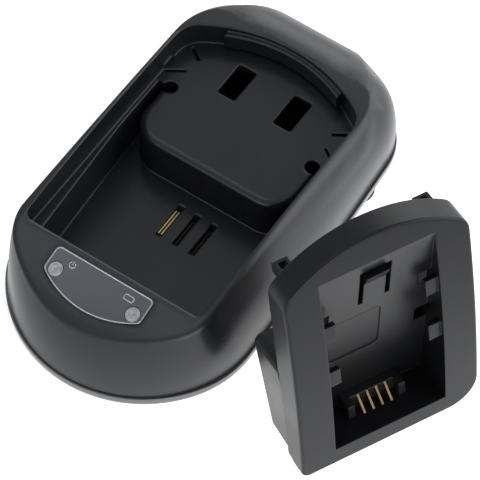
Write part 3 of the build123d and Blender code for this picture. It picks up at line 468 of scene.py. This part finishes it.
@dataclass(frozen=True)
class Moulding(Finish):
    """Injection-moulded plastic or rubber: fine grain, soft edges, a little dust, and paler edges that are partly
    wear and partly a painted highlight.
    """

    pale: Colour = (0.03, 0.03, 0.033)
    grain_pitch: float = 4200.0
    grain_depth: float = 0.004 * MM
    swell_share: float = 0.3
    roughness_spread: float = 0.03
    edge_radius: float = 0.45 * MM
    edge_wear_and_highlight_share: float = 0.2
    dust_cover: float = 0.015
    dust_share: float = 0.5
    gloss: float = 0.4
    cloud_share: float = 0.1
    crease: Crease | None = None

    def build(self) -> bpy.types.Material:
        """Make the material.

        Returns:
            The finished material.
        """
        material, sheet, shader, place = self.start()
        shader.inputs["Specular IOR Level"].default_value = self.gloss
        radius = self.crease.radius_at(sheet, place, self.edge_radius) if self.crease else self.edge_radius
        rounded = sheet.add("ShaderNodeBevel", {"Radius": radius}, samples=BEVEL_SAMPLES)
        smooth = rounded.outputs["Normal"]
        if self.crease:
            smooth = self.crease.shaped(sheet, place, smooth)
        plain = sheet.add("ShaderNodeNewGeometry")
        grain = sheet.add("ShaderNodeGroup", node_tree=Effects.grain())
        mottle = sheet.add("ShaderNodeGroup", node_tree=Effects.mottle())
        edge_wear_and_highlight = sheet.add("ShaderNodeGroup", node_tree=Effects.edge_wear_and_highlight())
        for group in (grain, mottle, edge_wear_and_highlight):
            sheet.feed(group.inputs["Vector"], place)
        sheet.feed(grain.inputs["Pitch"], self.grain_pitch)
        sheet.feed(grain.inputs["Swell Share"], self.swell_share)
        sheet.feed(mottle.inputs["Dust Cover"], self.dust_cover)
        sheet.feed(edge_wear_and_highlight.inputs["Round Normal"], rounded.outputs["Normal"])
        sheet.feed(edge_wear_and_highlight.inputs["Plain Normal"], plain.outputs["Normal"])
        # Paler edges: wear and a painted edge highlight.
        worn_and_highlit = sheet.math("MULTIPLY", edge_wear_and_highlight.outputs["Mask"], self.edge_wear_and_highlight_share)
        dusty = sheet.math("MULTIPLY", mottle.outputs["Dust"], self.dust_share)
        clouded = sheet.spread(mottle.outputs["Cloud"], CLOUD_LOW, CLOUD_HIGH, 0.0, self.cloud_share)
        share = sheet.math("MAXIMUM", sheet.math("MAXIMUM", worn_and_highlit, dusty), clouded)
        sheet.feed(shader.inputs["Base Color"], sheet.blend(share, self.colour, self.pale))
        dull = sheet.spread(
            mottle.outputs["Cloud"],
            CLOUD_LOW,
            CLOUD_HIGH,
            self.roughness - self.roughness_spread,
            self.roughness + self.roughness_spread,
        )
        pitted = sheet.math("MULTIPLY", grain.outputs["Pits"], self.roughness_spread)
        sheet.feed(shader.inputs["Roughness"], sheet.math("ADD", dull, pitted))
        bump = sheet.add(
            "ShaderNodeBump",
            {"Height": grain.outputs["Height"], "Distance": self.grain_depth, "Normal": smooth},
        )
        sheet.feed(shader.inputs["Normal"], bump.outputs["Normal"])
        return material


@dataclass(frozen=True)
class Metal(Finish):
    """Plated or drawn metal with a fine draw line and tarnish in patches."""

    tarnish: Colour = (0.3, 0.2, 0.08)
    tarnish_scale: float = 420.0
    tarnish_span: Span = (0.45, 0.7)
    tarnish_share: float = 0.4
    tarnish_dulls: float = 0.2
    line_scale: float = 5000.0
    line_depth: float = 0.01 * MM
    line_dulls: Span = (0.8, 1.3)
    run: Direction = Direction.EVEN
    edge_radius: float = 0.1 * MM

    def build(self) -> bpy.types.Material:
        """Make the material.

        Returns:
            The finished material.
        """
        material, sheet, shader, place = self.start()
        shader.inputs["Metallic"].default_value = 1.0
        stretched = sheet.add("ShaderNodeMapping", {"Vector": place, "Scale": self.run.value})
        lines = sheet.add(
            "ShaderNodeTexNoise",
            {"Vector": stretched.outputs["Vector"], "Scale": self.line_scale, "Detail": 2.0},
        )
        mottle = sheet.add(
            "ShaderNodeGroup",
            {"Vector": place, "Cloud Scale": self.tarnish_scale},
            node_tree=Effects.mottle(),
        )
        patches = sheet.spread(mottle.outputs["Cloud"], *self.tarnish_span, 0.0, self.tarnish_share)
        sheet.feed(shader.inputs["Base Color"], sheet.blend(patches, self.colour, self.tarnish))
        least, most = (self.roughness * share for share in self.line_dulls)
        dull = sheet.spread(lines.outputs["Fac"], CLOUD_LOW, CLOUD_HIGH, least, most)
        stained = sheet.math("MULTIPLY", patches, self.tarnish_dulls)
        sheet.feed(shader.inputs["Roughness"], sheet.math("ADD", dull, stained))
        rounded = sheet.add("ShaderNodeBevel", {"Radius": self.edge_radius}, samples=METAL_BEVEL_SAMPLES)
        bump = sheet.add(
            "ShaderNodeBump",
            {
                "Height": lines.outputs["Fac"],
                "Distance": self.line_depth,
                "Normal": rounded.outputs["Normal"],
            },
        )
        sheet.feed(shader.inputs["Normal"], bump.outputs["Normal"])
        return material


@dataclass(frozen=True)
class Foil(Finish):
    """Printed foil under a satin skin, paler towards one end, with a fine metallic fleck."""

    pale_end: Colour = (0.2, 0.2, 0.23)
    half_width: float = 15.2 * MM
    gloss: float = 0.6
    cloud_scale: float = 130.0
    cloud_shift: float = 0.25
    cloud_dulls: Span = (-0.05, 0.07)
    fleck: Colour = (0.8, 0.8, 0.82)
    fleck_scale: float = 9000.0
    fleck_cover: float = 0.3
    fleck_share: float = 0.12
    fleck_height: float = 0.008 * MM

    def build(self) -> bpy.types.Material:
        """Make the material.

        Returns:
            The finished material.
        """
        material, sheet, shader, place = self.start()
        shader.inputs["Specular IOR Level"].default_value = self.gloss
        axes = sheet.add("ShaderNodeSeparateXYZ", {"Vector": place})
        mottle = sheet.add(
            "ShaderNodeGroup",
            {
                "Vector": place,
                "Cloud Scale": self.cloud_scale,
                "Dust Scale": self.fleck_scale,
                "Dust Cover": self.fleck_cover,
            },
            node_tree=Effects.mottle(),
        )
        along = sheet.spread(axes.outputs["X"], -self.half_width, self.half_width, 1.0, 0.0)
        cloud = sheet.spread(mottle.outputs["Cloud"], VEIL_LOW, VEIL_HIGH, -self.cloud_shift, self.cloud_shift)
        share = sheet.math("ADD", along, cloud)
        ground = sheet.blend(share, self.colour, self.pale_end)
        fleck = sheet.math("MULTIPLY", mottle.outputs["Dust"], self.fleck_share)
        sheet.feed(shader.inputs["Base Color"], sheet.blend(fleck, ground, self.fleck))
        least, most = (self.roughness + change for change in self.cloud_dulls)
        dull = sheet.spread(mottle.outputs["Cloud"], CLOUD_LOW, CLOUD_HIGH, least, most)
        sheet.feed(shader.inputs["Roughness"], dull)
        bump = sheet.add("ShaderNodeBump", {"Height": mottle.outputs["Dust"], "Distance": self.fleck_height})
        sheet.feed(shader.inputs["Normal"], bump.outputs["Normal"])
        return material


@dataclass(frozen=True)
class Frosted(Finish):
    """Clear plastic with a frosted skin, as light pipes and lamps have."""

    clearness: float = 0.35
    veil: Colour = (0.55, 0.55, 0.58)
    veil_scale: float = 520.0
    veil_share: float = 0.7
    veil_dulls: float = 0.2
    frost_depth: float = 0.05 * MM
    refraction: float = 1.49

    def build(self) -> bpy.types.Material:
        """Make the material.

        Returns:
            The finished material.
        """
        material, sheet, shader, place = self.start()
        shader.inputs["Transmission Weight"].default_value = self.clearness
        shader.inputs["IOR"].default_value = self.refraction
        mottle = sheet.add(
            "ShaderNodeGroup",
            {"Vector": place, "Cloud Scale": self.veil_scale},
            node_tree=Effects.mottle(),
        )
        veil = sheet.spread(mottle.outputs["Cloud"], VEIL_LOW, VEIL_HIGH, 0.0, self.veil_share)
        sheet.feed(shader.inputs["Base Color"], sheet.blend(veil, self.colour, self.veil))
        dulled = sheet.math("MULTIPLY", veil, self.veil_dulls)
        sheet.feed(shader.inputs["Roughness"], sheet.math("ADD", dulled, self.roughness))
        bump = sheet.add("ShaderNodeBump", {"Height": mottle.outputs["Cloud"], "Distance": self.frost_depth})
        sheet.feed(shader.inputs["Normal"], bump.outputs["Normal"])
        return material


@dataclass(frozen=True)
class Laminate(Finish):
    """Circuit board: solder mask over copper tracks on a square grid, with bare pads."""

    track: Colour = (0.03, 0.1, 0.04)
    pad: Colour = (0.5, 0.45, 0.35)
    grid: float = 390.0
    track_width: float = 0.12
    pad_span: Span = (0.14, 0.17)
    pad_metal: float = 0.8
    pad_height: float = 0.04 * MM

    def build(self) -> bpy.types.Material:
        """Make the material.

        Returns:
            The finished material.
        """
        material, sheet, shader, place = self.start()
        tracks = sheet.add(
            "ShaderNodeTexBrick",
            {
                "Vector": place,
                "Color1": self.colour,
                "Color2": self.colour,
                "Mortar": self.track,
                "Scale": self.grid,
                "Mortar Size": self.track_width,
            },
        )
        pads = sheet.add("ShaderNodeTexVoronoi", {"Vector": place, "Scale": self.grid}, feature="F1")
        spot = sheet.spread(pads.outputs["Distance"], *self.pad_span, 1.0, 0.0)
        sheet.feed(shader.inputs["Base Color"], sheet.blend(spot, tracks.outputs["Color"], self.pad))
        sheet.feed(shader.inputs["Metallic"], sheet.math("MULTIPLY", spot, self.pad_metal))
        bump = sheet.add("ShaderNodeBump", {"Height": spot, "Distance": self.pad_height})
        sheet.feed(shader.inputs["Normal"], bump.outputs["Normal"])
        return material


CASE = Moulding(
    "case_black",
    (0.0062, 0.0067, 0.0092),
    0.27,
    pale=(0.016, 0.016, 0.018),
    edge_radius=0.8 * MM,
    crease=Crease(
        near_radius=2.5 * MM,
        far_radius=6.0 * MM,
        half_width=28.4 * MM,
        near=-39.3 * MM,
        far=45.0 * MM,
        low=13.0 * MM,
        foot=6.6 * MM,
        brow=24.0 * MM,
    ),
)
# Bottom shell is black plastic; its colour is lifted to grey as a painted reflection of the bright floor along its
# foot.
TRAY = Moulding("tray_black_lightened_as_painted_reflection", (0.05, 0.05, 0.054), 0.15, pale=(0.06, 0.06, 0.064), gloss=1.0)
PLATE = Moulding(
    "plate_satin_black",
    (0.004, 0.0042, 0.005),
    0.33,
    pale=(0.014, 0.014, 0.016),
    gloss=0.2,
    grain_depth=0.008 * MM,
)
COVER = replace(PLATE, name="cover_satin_black")
INSERT = Moulding("insert_black", (0.006, 0.006, 0.007), 0.42)
RUBBER = Moulding("soft_rubber", (0.03, 0.03, 0.032), 0.75, gloss=0.3, grain_depth=0.03 * MM, dust_cover=0.1)
EPOXY = Moulding("black_epoxy", (0.004, 0.004, 0.004), 0.55, gloss=0.2)
FERRITE = Moulding("core_ferrite", (0.005, 0.005, 0.005), 0.6, gloss=0.2, grain_depth=0.03 * MM)
# Amber tape darkened nearly to black: painted shade behind the bay's windows.
TAPE = Moulding("amber_tape_darkened_as_painted_shade", (0.01, 0.008, 0.004), 0.4, pale=(0.02, 0.016, 0.01), gloss=0.2, swell_share=0.8)
SLEEVE = Moulding("shrink_sleeve", (0.003, 0.003, 0.005), 0.35, gloss=0.2, edge_radius=0.2 * MM)
STEEL = Metal("screw_zinc", (0.5, 0.5, 0.51), 0.3, tarnish=(0.32, 0.32, 0.33))
BRASS = Metal("contact_gold", (0.83, 0.6, 0.22), 0.24, tarnish=(0.4, 0.26, 0.1), run=Direction.LENGTHWISE)
SPRING_BRASS = Metal("spring_gold", (0.52, 0.38, 0.15), 0.3, tarnish=(0.18, 0.12, 0.05), run=Direction.LENGTHWISE)
FIN_BRASS = Metal("fin_gold", (0.24, 0.155, 0.07), 0.34, tarnish=(0.08, 0.055, 0.03), run=Direction.UPRIGHT)
# Darker copy of the spring gold for springs 2 and 3: painted shade in their slots.
SHADED_SPRING_BRASS = Metal("contact_gold_painted_shade", (0.06, 0.05, 0.035), 0.45, tarnish=(0.03, 0.025, 0.02), run=Direction.LENGTHWISE)
SINK = Metal("sink_anodised", (0.01, 0.01, 0.011), 0.5, tarnish=(0.006, 0.006, 0.006), run=Direction.UPRIGHT)
FOIL = Foil("printed_foil", (0.03, 0.033, 0.042), 0.34, pale_end=(0.046, 0.049, 0.06))
SILVER = Metal("silver_print", (0.5, 0.5, 0.53), 0.45, tarnish=(0.4, 0.4, 0.42), tarnish_share=0.3)
LENS = Frosted("frosted_lens", (0.26, 0.26, 0.29), 0.2)
LAMP = Frosted("clear_lamp", (0.5, 0.5, 0.48), 0.15, clearness=0.7)
# Board and its pads darkened far below copper and solder mask: painted shade behind the bay's windows.
LAMINATE = Laminate(
    "laminate_darkened_as_painted_shade",
    (0.003, 0.005, 0.004),
    0.5,
    track=(0.002, 0.0035, 0.003),
    pad=(0.02, 0.018, 0.014),
)


@dataclass
class SubAssembly:
    """Some CAD nodes that belong together, with their finishes."""

    finishes: dict[str, Finish] = field(default_factory=dict)
    made: ClassVar[dict[str, bpy.types.Material]] = {}

    def material(self, finish: Finish) -> bpy.types.Material:
        """The material of a finish, made at its first use.

        Args:
            finish: the finish.

        Returns:
            Its material.
        """
        if finish.name not in self.made:
            self.made[finish.name] = finish.build()
        return self.made[finish.name]

    def dress(self) -> None:
        """Give each CAD node its material."""
        for name, finish in self.finishes.items():
            mesh = frame["nodes"][name].data
            mesh.materials.clear()
            mesh.materials.append(self.material(finish))
            LOG.info("%s: %s", name, finish.name)

    def build(self) -> None:
        """Make the pieces that the CAD nodes lack; the plain sub-assembly has none."""


class PieceTree:
    """A Geometry Nodes tree that makes a finished piece from a bare mesh.

    Attributes:
        name: name of the tree.
        start: name of the input that takes the bare mesh.
        result: name of the output.
        kinds: socket type of every other input by name.
    """

    name: ClassVar[str]
    start: ClassVar[str]
    result: ClassVar[str]
    kinds: ClassVar[dict[str, str]]

    def __init__(self) -> None:
        """Build the tree with its named inputs."""
        self.tree = bpy.data.node_groups.new(self.name, "GeometryNodeTree")
        sockets = self.tree.interface
        sockets.new_socket(self.start, in_out="INPUT", socket_type="NodeSocketGeometry")
        self.identifiers: dict[str, str] = {}
        for label, kind in self.kinds.items():
            self.identifiers[label] = sockets.new_socket(label, in_out="INPUT", socket_type=kind).identifier
        sockets.new_socket(self.result, in_out="OUTPUT", socket_type="NodeSocketGeometry")
        sheet = Sheet(self.tree)
        given = sheet.add("NodeGroupInput").outputs
        whole = sheet.add("GeometryNodeRealizeInstances", {"Geometry": self.fill(sheet, given)})
        painted = sheet.add(
            "GeometryNodeSetMaterial",
            {"Geometry": whole.outputs["Geometry"], "Material": given["Finish"]},
        )
        sheet.add("NodeGroupOutput", {self.result: painted.outputs["Geometry"]})

    def fill(self, sheet: Sheet, given: bpy.types.NodeOutputs) -> bpy.types.NodeSocket:
        """Add the nodes that shape the piece.

        Args:
            sheet: the tree's sheet.
            given: the tree's inputs.

        Returns:
            The shaped geometry's socket.
        """
        raise NotImplementedError

    def realise(self, name: str, mesh: bpy.types.Mesh, values: dict) -> bpy.types.Object:
        """Run the tree on a mesh and keep the result as a plain mesh object.

        Args:
            name: name of the piece.
            mesh: the mesh the tree starts from.
            values: the tree's inputs by name.

        Returns:
            The piece, linked to the scene, with no modifier.
        """
        seed = bpy.data.objects.new(name + "_seed", mesh)
        bpy.context.scene.collection.objects.link(seed)
        modifier = seed.modifiers.new("tree", "NODES")
        modifier.node_group = self.tree
        for label, value in values.items():
            modifier[self.identifiers[label]] = value
        graph = bpy.context.evaluated_depsgraph_get()
        graph.update()
        plain = bpy.data.meshes.new_from_object(seed.evaluated_get(graph))
        bpy.data.objects.remove(seed, do_unlink=True)
        plain.name = name
        piece = bpy.data.objects.new(name, plain)
        bpy.context.scene.collection.objects.link(piece)
        return piece


class PathLine(PieceTree):
    """Flat lines laid on a surface along drawn paths."""

    name = "line_on_surface"
    start = "Paths"
    result = "Line"
    kinds = {
        "Surface": "NodeSocketObject",
        "Line Width": "NodeSocketFloat",
        "Line Height": "NodeSocketFloat",
        "Corner": "NodeSocketFloat",
        "Spacing": "NodeSocketFloat",
        "Finish": "NodeSocketMaterial",
    }
    corner_points: ClassVar[int] = 6
    drop_reach: ClassVar[float] = 100 * MM

    def fill(self, sheet: Sheet, given: bpy.types.NodeOutputs) -> bpy.types.NodeSocket:
        """Round the paths' corners, drop the paths on the surface and give them a section.

        Args:
            sheet: the tree's sheet.
            given: the tree's inputs.

        Returns:
            The lines' socket.
        """
        curve = sheet.add("GeometryNodeMeshToCurve", {"Mesh": given["Paths"]})
        round_off = sheet.add(
            "GeometryNodeFilletCurve",
            {
                "Curve": curve.outputs["Curve"],
                "Radius": given["Corner"],
                "Count": self.corner_points,
                "Limit Radius": True,
            },
            mode="POLY",
        )
        even = sheet.add(
            "GeometryNodeResampleCurve",
            {"Curve": round_off.outputs["Curve"], "Length": given["Spacing"]},
            mode="LENGTH",
        )
        surface = sheet.add("GeometryNodeObjectInfo", {"Object": given["Surface"]})
        drop = sheet.add(
            "GeometryNodeRaycast",
            {
                "Target Geometry": surface.outputs["Geometry"],
                "Ray Direction": DOWN,
                "Ray Length": self.drop_reach,
            },
        )
        laid = sheet.add(
            "GeometryNodeSetPosition",
            {
                "Geometry": even.outputs["Curve"],
                "Selection": drop.outputs["Is Hit"],
                "Position": drop.outputs["Hit Position"],
            },
        )
        section = sheet.add(
            "GeometryNodeCurvePrimitiveQuadrilateral",
            {"Width": given["Line Width"], "Height": given["Line Height"]},
        )
        strip = sheet.add(
            "GeometryNodeCurveToMesh",
            {"Curve": laid.outputs["Geometry"], "Profile Curve": section.outputs["Curve"], "Fill Caps": True},
        )
        return strip.outputs["Mesh"]

    def lay(self, name: str, paths: list[list[Vector]], closed: list[bool], values: dict) -> bpy.types.Object:
        """Lay lines along paths.

        Args:
            name: name of the piece.
            paths: the points of each path, above the surface.
            closed: whether each path joins its own start.
            values: the tree's inputs by name.

        Returns:
            The piece as a plain mesh.
        """
        points: list[Vector] = []
        edges: list[tuple[int, int]] = []
        for path, ring in zip(paths, closed):
            first = len(points)
            points.extend(path)
            edges.extend((first + i, first + i + 1) for i in range(len(path) - 1))
            if ring:
                edges.append((first + len(path) - 1, first))
        mesh = bpy.data.meshes.new(name + "_paths")
        mesh.from_pydata(points, edges, [])
        return self.realise(name, mesh, values)


class PaintedRecessShadeCrosses(PieceTree):
    """One dark cross on each point, all turned to face one way: painted shade standing in for a driver recess."""

    name = "cross_on_points"
    start = "Points"
    result = "Crosses"
    kinds = {
        "Facing": "NodeSocketVector",
        "Arm": "NodeSocketVector",
        "Finish": "NodeSocketMaterial",
    }

    def fill(self, sheet: Sheet, given: bpy.types.NodeOutputs) -> bpy.types.NodeSocket:
        """Cross two arms and set the cross on every point.

        Args:
            sheet: the tree's sheet.
            given: the tree's inputs.

        Returns:
            The crosses' socket.
        """
        arm = sheet.add("GeometryNodeMeshCube", {"Size": given["Arm"]})
        other = sheet.add(
            "GeometryNodeTransform",
            {"Geometry": arm.outputs["Mesh"], "Rotation": (0.0, 0.0, math.pi / 2)},
        )
        cross = sheet.add("GeometryNodeJoinGeometry")
        for part in (arm.outputs["Mesh"], other.outputs["Geometry"]):
            sheet.feed(cross.inputs["Geometry"], part)
        turned = sheet.add("FunctionNodeAlignRotationToVector", {"Vector": given["Facing"]}, axis="Z")
        spread = sheet.add(
            "GeometryNodeInstanceOnPoints",
            {
                "Points": given["Points"],
                "Instance": cross.outputs["Geometry"],
                "Rotation": turned.outputs["Rotation"],
            },
        )
        return spread.outputs["Instances"]

    def head_spots(self, node: str, facing: Vector) -> list[Vector]:
        """Middle of each screw's head, on the face that looks one way.

        Args:
            node: CAD node with one solid for each screw.
            facing: the way the heads look.

        Returns:
            The spots.
        """
        shape = bmesh.new()
        shape.from_mesh(frame["nodes"][node].data)
        bmesh.ops.remove_doubles(shape, verts=shape.verts, dist=WELD)
        spots: list[Vector] = []
        left = set(shape.verts)
        while left:
            island: set[bmesh.types.BMVert] = set()
            waiting = [left.pop()]
            while waiting:
                vertex = waiting.pop()
                island.add(vertex)
                near = {edge.other_vert(vertex) for edge in vertex.link_edges} & left
                left -= near
                waiting.extend(near)
            reach = max(vertex.co @ facing for vertex in island)
            face = [vertex.co for vertex in island if vertex.co @ facing > reach - WELD]
            spots.append(sum(face, Vector()) / len(face))
        shape.free()
        return spots

    def set_in(
        self, name: str, node: str, facing: Vector, arm: Vector, finish: bpy.types.Material
    ) -> bpy.types.Object:
        """Set a cross in every head of a node.

        Args:
            name: name of the piece.
            node: CAD node with the screws.
            facing: the way the heads look.
            arm: length, width and thickness of one arm.
            finish: material of the crosses.

        Returns:
            The piece as a plain mesh.
        """
        mesh = bpy.data.meshes.new(name + "_points")
        mesh.from_pydata(self.head_spots(node, facing), [], [])
        return self.realise(name, mesh, {"Facing": facing, "Arm": arm, "Finish": finish})


@dataclass
class IndicatorPanel(SubAssembly):
    """The grey foil on the nose with its silver border, two symbols and two light pipes."""

    side_length: float = 7.0 * MM
    border_inset: float = 0.35 * MM
    border_width: float = 0.26 * MM
    symbol_width: float = 0.24 * MM
    line_height: float = 0.05 * MM
    corner: float = 1.2 * MM
    symbol_from_back: float = 2.9 * MM
    symbol_x: float = 9.0 * MM
    ring_radius: float = 0.85 * MM
    ring_gap: float = 35.0
    ring_steps: int = 20
    stroke_share: float = 1.25
    cell_half: Spot = (1.35 * MM, 0.7 * MM)
    symbol_corner: float = 0.1 * MM
    bow_steps: int = 24
    spacing: float = 0.2 * MM
    hover: float = 1.0 * MM

    def __post_init__(self) -> None:
        """Name the finishes."""
        self.finishes = {"indicator_panel": FOIL, "status_lens": LENS, "charge_lens": LENS}

    def border_path(self, low: Vector, high: Vector) -> list[Vector]:
        """Outline of the foil, moved in, with its bowed front edge.

        Args:
            low: lowest corner of the foil.
            high: highest corner of the foil.

        Returns:
            The outline's points, above the foil.
        """
        half = high.x - self.border_inset
        back = high.y - self.border_inset
        side = high.y - self.side_length
        front = low.y + self.border_inset
        sky = high.z + self.hover
        path = [Vector((-half, back, sky)), Vector((half, back, sky))]
        bow = side - front
        radius = (half**2 + bow**2) / (2 * bow)
        sweep = math.asin(half / radius)
        for step in range(self.bow_steps + 1):
            angle = sweep * (1 - 2 * step / self.bow_steps)
            path.append(Vector((radius * math.sin(angle), front + radius * (1 - math.cos(angle)), sky)))
        return path

    def symbol_paths(self, high: Vector) -> tuple[list[list[Vector]], list[bool]]:
        """A switched ring beside one lens and a cell beside the other.

        Args:
            high: highest corner of the foil.

        Returns:
            The paths, and whether each is closed.
        """
        sky = high.z + self.hover
        y = high.y - self.symbol_from_back
        gap = math.radians(self.ring_gap)
        turn = 2 * (math.pi - gap) / self.ring_steps
        ring: list[Vector] = []
        for step in range(self.ring_steps + 1):
            angle = gap + step * turn
            across, along = self.ring_radius * math.sin(angle), self.ring_radius * math.cos(angle)
            ring.append(Vector((-self.symbol_x + across, y + along, sky)))
        top = y + self.stroke_share * self.ring_radius
        stroke = [Vector((-self.symbol_x, top, sky)), Vector((-self.symbol_x, y, sky))]
        wide, tall = self.cell_half
        cell = [
            Vector((self.symbol_x - wide, y - tall, sky)),
            Vector((self.symbol_x + wide, y - tall, sky)),
            Vector((self.symbol_x + wide, y + tall, sky)),
            Vector((self.symbol_x - wide, y + tall, sky)),
        ]
        knob_x = self.symbol_x + wide + self.symbol_width
        knob = [Vector((knob_x, y - tall / 2, sky)), Vector((knob_x, y + tall / 2, sky))]
        return [ring, stroke, cell, knob], [False, False, True, False]

    def build(self) -> None:
        """Lay the silver border and the symbols on the foil."""
        low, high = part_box("indicator_panel")
        line = PathLine()
        shared = {
            "Surface": frame["nodes"]["indicator_panel"],
            "Line Height": self.line_height,
            "Spacing": self.spacing,
            "Finish": self.material(SILVER),
        }
        border = line.lay(
            "panel_border",
            [self.border_path(low, high)],
            [True],
            {**shared, "Line Width": self.border_width, "Corner": self.corner},
        )
        paths, closed = self.symbol_paths(high)
        symbols = line.lay(
            "panel_symbols",
            paths,
            closed,
            {**shared, "Line Width": self.symbol_width, "Corner": self.symbol_corner},
        )
        for piece in (border, symbols):
            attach(piece, "root")
            LOG.info("%s: %d faces", piece.name, len(piece.data.polygons))


@dataclass
class ChargerBase(SubAssembly):
    """The two shells with their feet and the parts of the heel and the pocket."""

    def __post_init__(self) -> None:
        """Name the finishes."""
        self.finishes = {
            "top_shell": CASE,
            "bottom_shell": TRAY,
            "rubber_feet": RUBBER,
            "case_screws": STEEL,
            "power_inlet": INSERT,
            "contact_carrier": INSERT,
            "contact_spring_1": SPRING_BRASS,
            # Springs 2 and 3 take the darker gold as painted shade in their slots.
            "contact_spring_2": SHADED_SPRING_BRASS,
            "contact_spring_3": SHADED_SPRING_BRASS,
        }

    def build(self) -> None:
        """Set the crosses of the case screws."""
        # Black crosses on the heads: painted shade of the driver recesses.
        crosses = PaintedRecessShadeCrosses().set_in(
            "case_screw_crosses",
            "case_screws",
            Vector(DOWN),
            Vector(CROSS_ARM),
            self.material(INSERT),
        )
        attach(crosses, "root")
        LOG.info("%s: %d faces", crosses.name, len(crosses.data.polygons))


@dataclass
class Electronics(SubAssembly):
    """The board under the bay and what stands on it."""

    def __post_init__(self) -> None:
        """Name the finishes."""
        # Dark finishes throughout; tape and pads are far darker than their own colour, as painted shade behind the
        # windows.
        self.finishes = {
            "main_board": LAMINATE,
            "transformer_core": FERRITE,
            "transformer_winding": TAPE,
            "input_capacitor": SLEEVE,
            "output_capacitor": SLEEVE,
            "heat_sink": SINK,
            "switching_transistor": EPOXY,
            "controller_chip": EPOXY,
            "status_led": LAMP,
            "charge_led": LAMP,
        }


@dataclass
class BatteryPlate(SubAssembly):
    """The plate that stands beside the base, with its cover and contacts."""

    turn: float = 63.0
    lean: float = 11.0

    def __post_init__(self) -> None:
        """Name the finishes."""
        self.finishes = {
            "plate_front": PLATE,
            "plate_rear_cover": COVER,
            "plate_contact_block": INSERT,
            "plate_contacts": FIN_BRASS,
            "plate_board": LAMINATE,
            "plate_screws": STEEL,
            "plate_blade_1": BRASS,
            "plate_blade_2": BRASS,
            "plate_blade_3": BRASS,
        }

    def build(self) -> None:
        """Set the crosses of the plate's screws."""
        turn, lean = math.radians(self.turn), math.radians(self.lean)
        outward = Vector((math.sin(turn) * math.cos(lean), -math.cos(turn) * math.cos(lean), math.sin(lean)))
        # Black crosses on the heads: painted shade of the driver recesses.
        crosses = PaintedRecessShadeCrosses().set_in(
            "plate_screw_crosses",
            "plate_screws",
            -outward,
            Vector(CROSS_ARM),
            self.material(INSERT),
        )
        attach(crosses, "root")
        LOG.info("%s: %d faces", crosses.name, len(crosses.data.polygons))


@dataclass(frozen=True)
class Lamp:
    """A soft lamp: its name, place, width and height, and power in watts."""

    name: str
    place: Place
    size: Spot
    power: float


@dataclass
class Studio:
    """Floor, light and camera."""

    azimuth: float = 34.4
    elevation: float = 57.2
    distance: float = 850 * MM
    target: Place = (12.56 * MM, 1.57 * MM, 1.93 * MM)
    focal: float = 234.4
    clip_start: float = 10 * MM
    floor_half: float = 2.5
    floor: LitFloor = LitFloor("floor_white", (0.9, 0.9, 0.9), 0.9)
    sky_colour: Colour = (0.93, 0.96, 1.0)
    sky_strength: float = 0.7
    lamps: tuple[Lamp, ...] = (
        Lamp("key", (1.25, 0.7, 0.55), (1.2, 1.3), 14.0),
        Lamp("back", (0.0, 1.45, 0.6), (2.2, 0.9), 14.0),
        Lamp("side", (1.2, -0.85, 0.5), (1.1, 1.0), 11.0),
        Lamp("front", (0.15, -1.4, 0.5), (1.4, 0.4), 3.5),
        Lamp("top", (-0.45, -0.05, 1.4), (0.7, 0.7), 1.5),
    )

    def lay_floor(self) -> None:
        """Lay the pale floor."""
        mesh = bpy.data.meshes.new("floor")
        shape = bmesh.new()
        bmesh.ops.create_grid(shape, x_segments=1, y_segments=1, size=self.floor_half)
        shape.to_mesh(mesh)
        shape.free()
        ground = bpy.data.objects.new("floor", mesh)
        bpy.context.scene.collection.objects.link(ground)
        ground.data.materials.append(self.floor.build())

    def hang(self, lamp: Lamp) -> None:
        """Hang one soft lamp that looks at the object.

        Args:
            lamp: the lamp.
        """
        light = bpy.data.lights.new(lamp.name, "AREA")
        light.shape = "RECTANGLE"
        light.size, light.size_y = lamp.size
        light.energy = lamp.power
        holder = bpy.data.objects.new(lamp.name, light)
        holder.location = lamp.place
        view = Vector(self.target) - Vector(lamp.place)
        holder.rotation_euler = view.to_track_quat("-Z", "Y").to_euler()
        bpy.context.scene.collection.objects.link(holder)

    def light(self) -> None:
        """Hang the lamps and set the pale surroundings."""
        world = bpy.data.worlds.new("surroundings")
        world.use_nodes = True
        ground = world.node_tree.nodes["Background"]
        ground.inputs["Color"].default_value = (*self.sky_colour, 1.0)
        ground.inputs["Strength"].default_value = self.sky_strength
        bpy.context.scene.world = world
        for lamp in self.lamps:
            self.hang(lamp)

    def camera(self) -> None:
        """Put the camera at the photograph's angle."""
        lens = bpy.data.cameras.new("camera")
        lens.lens = self.focal
        lens.clip_start = self.clip_start
        holder = bpy.data.objects.new("camera", lens)
        turn, rise = math.radians(self.azimuth), math.radians(self.elevation)
        back = Vector((math.sin(turn) * math.cos(rise), -math.cos(turn) * math.cos(rise), math.sin(rise)))
        holder.location = Vector(self.target) + back * self.distance
        holder.rotation_euler = (-back).to_track_quat("-Z", "Y").to_euler()
        bpy.context.scene.collection.objects.link(holder)
        bpy.context.scene.camera = holder

    def build(self) -> None:
        """Make the whole studio."""
        self.lay_floor()
        self.light()
        self.camera()
        bpy.context.scene.view_settings.view_transform = "Standard"


def main() -> None:
    """Dress the charger and set it in the studio."""
    logging.basicConfig(level=logging.INFO, format="%(name)s: %(message)s")
    for assembly in (ChargerBase(), IndicatorPanel(), Electronics(), BatteryPlate()):
        assembly.dress()
        assembly.build()
    Studio().build()


if __name__ == "__main__":
    main()
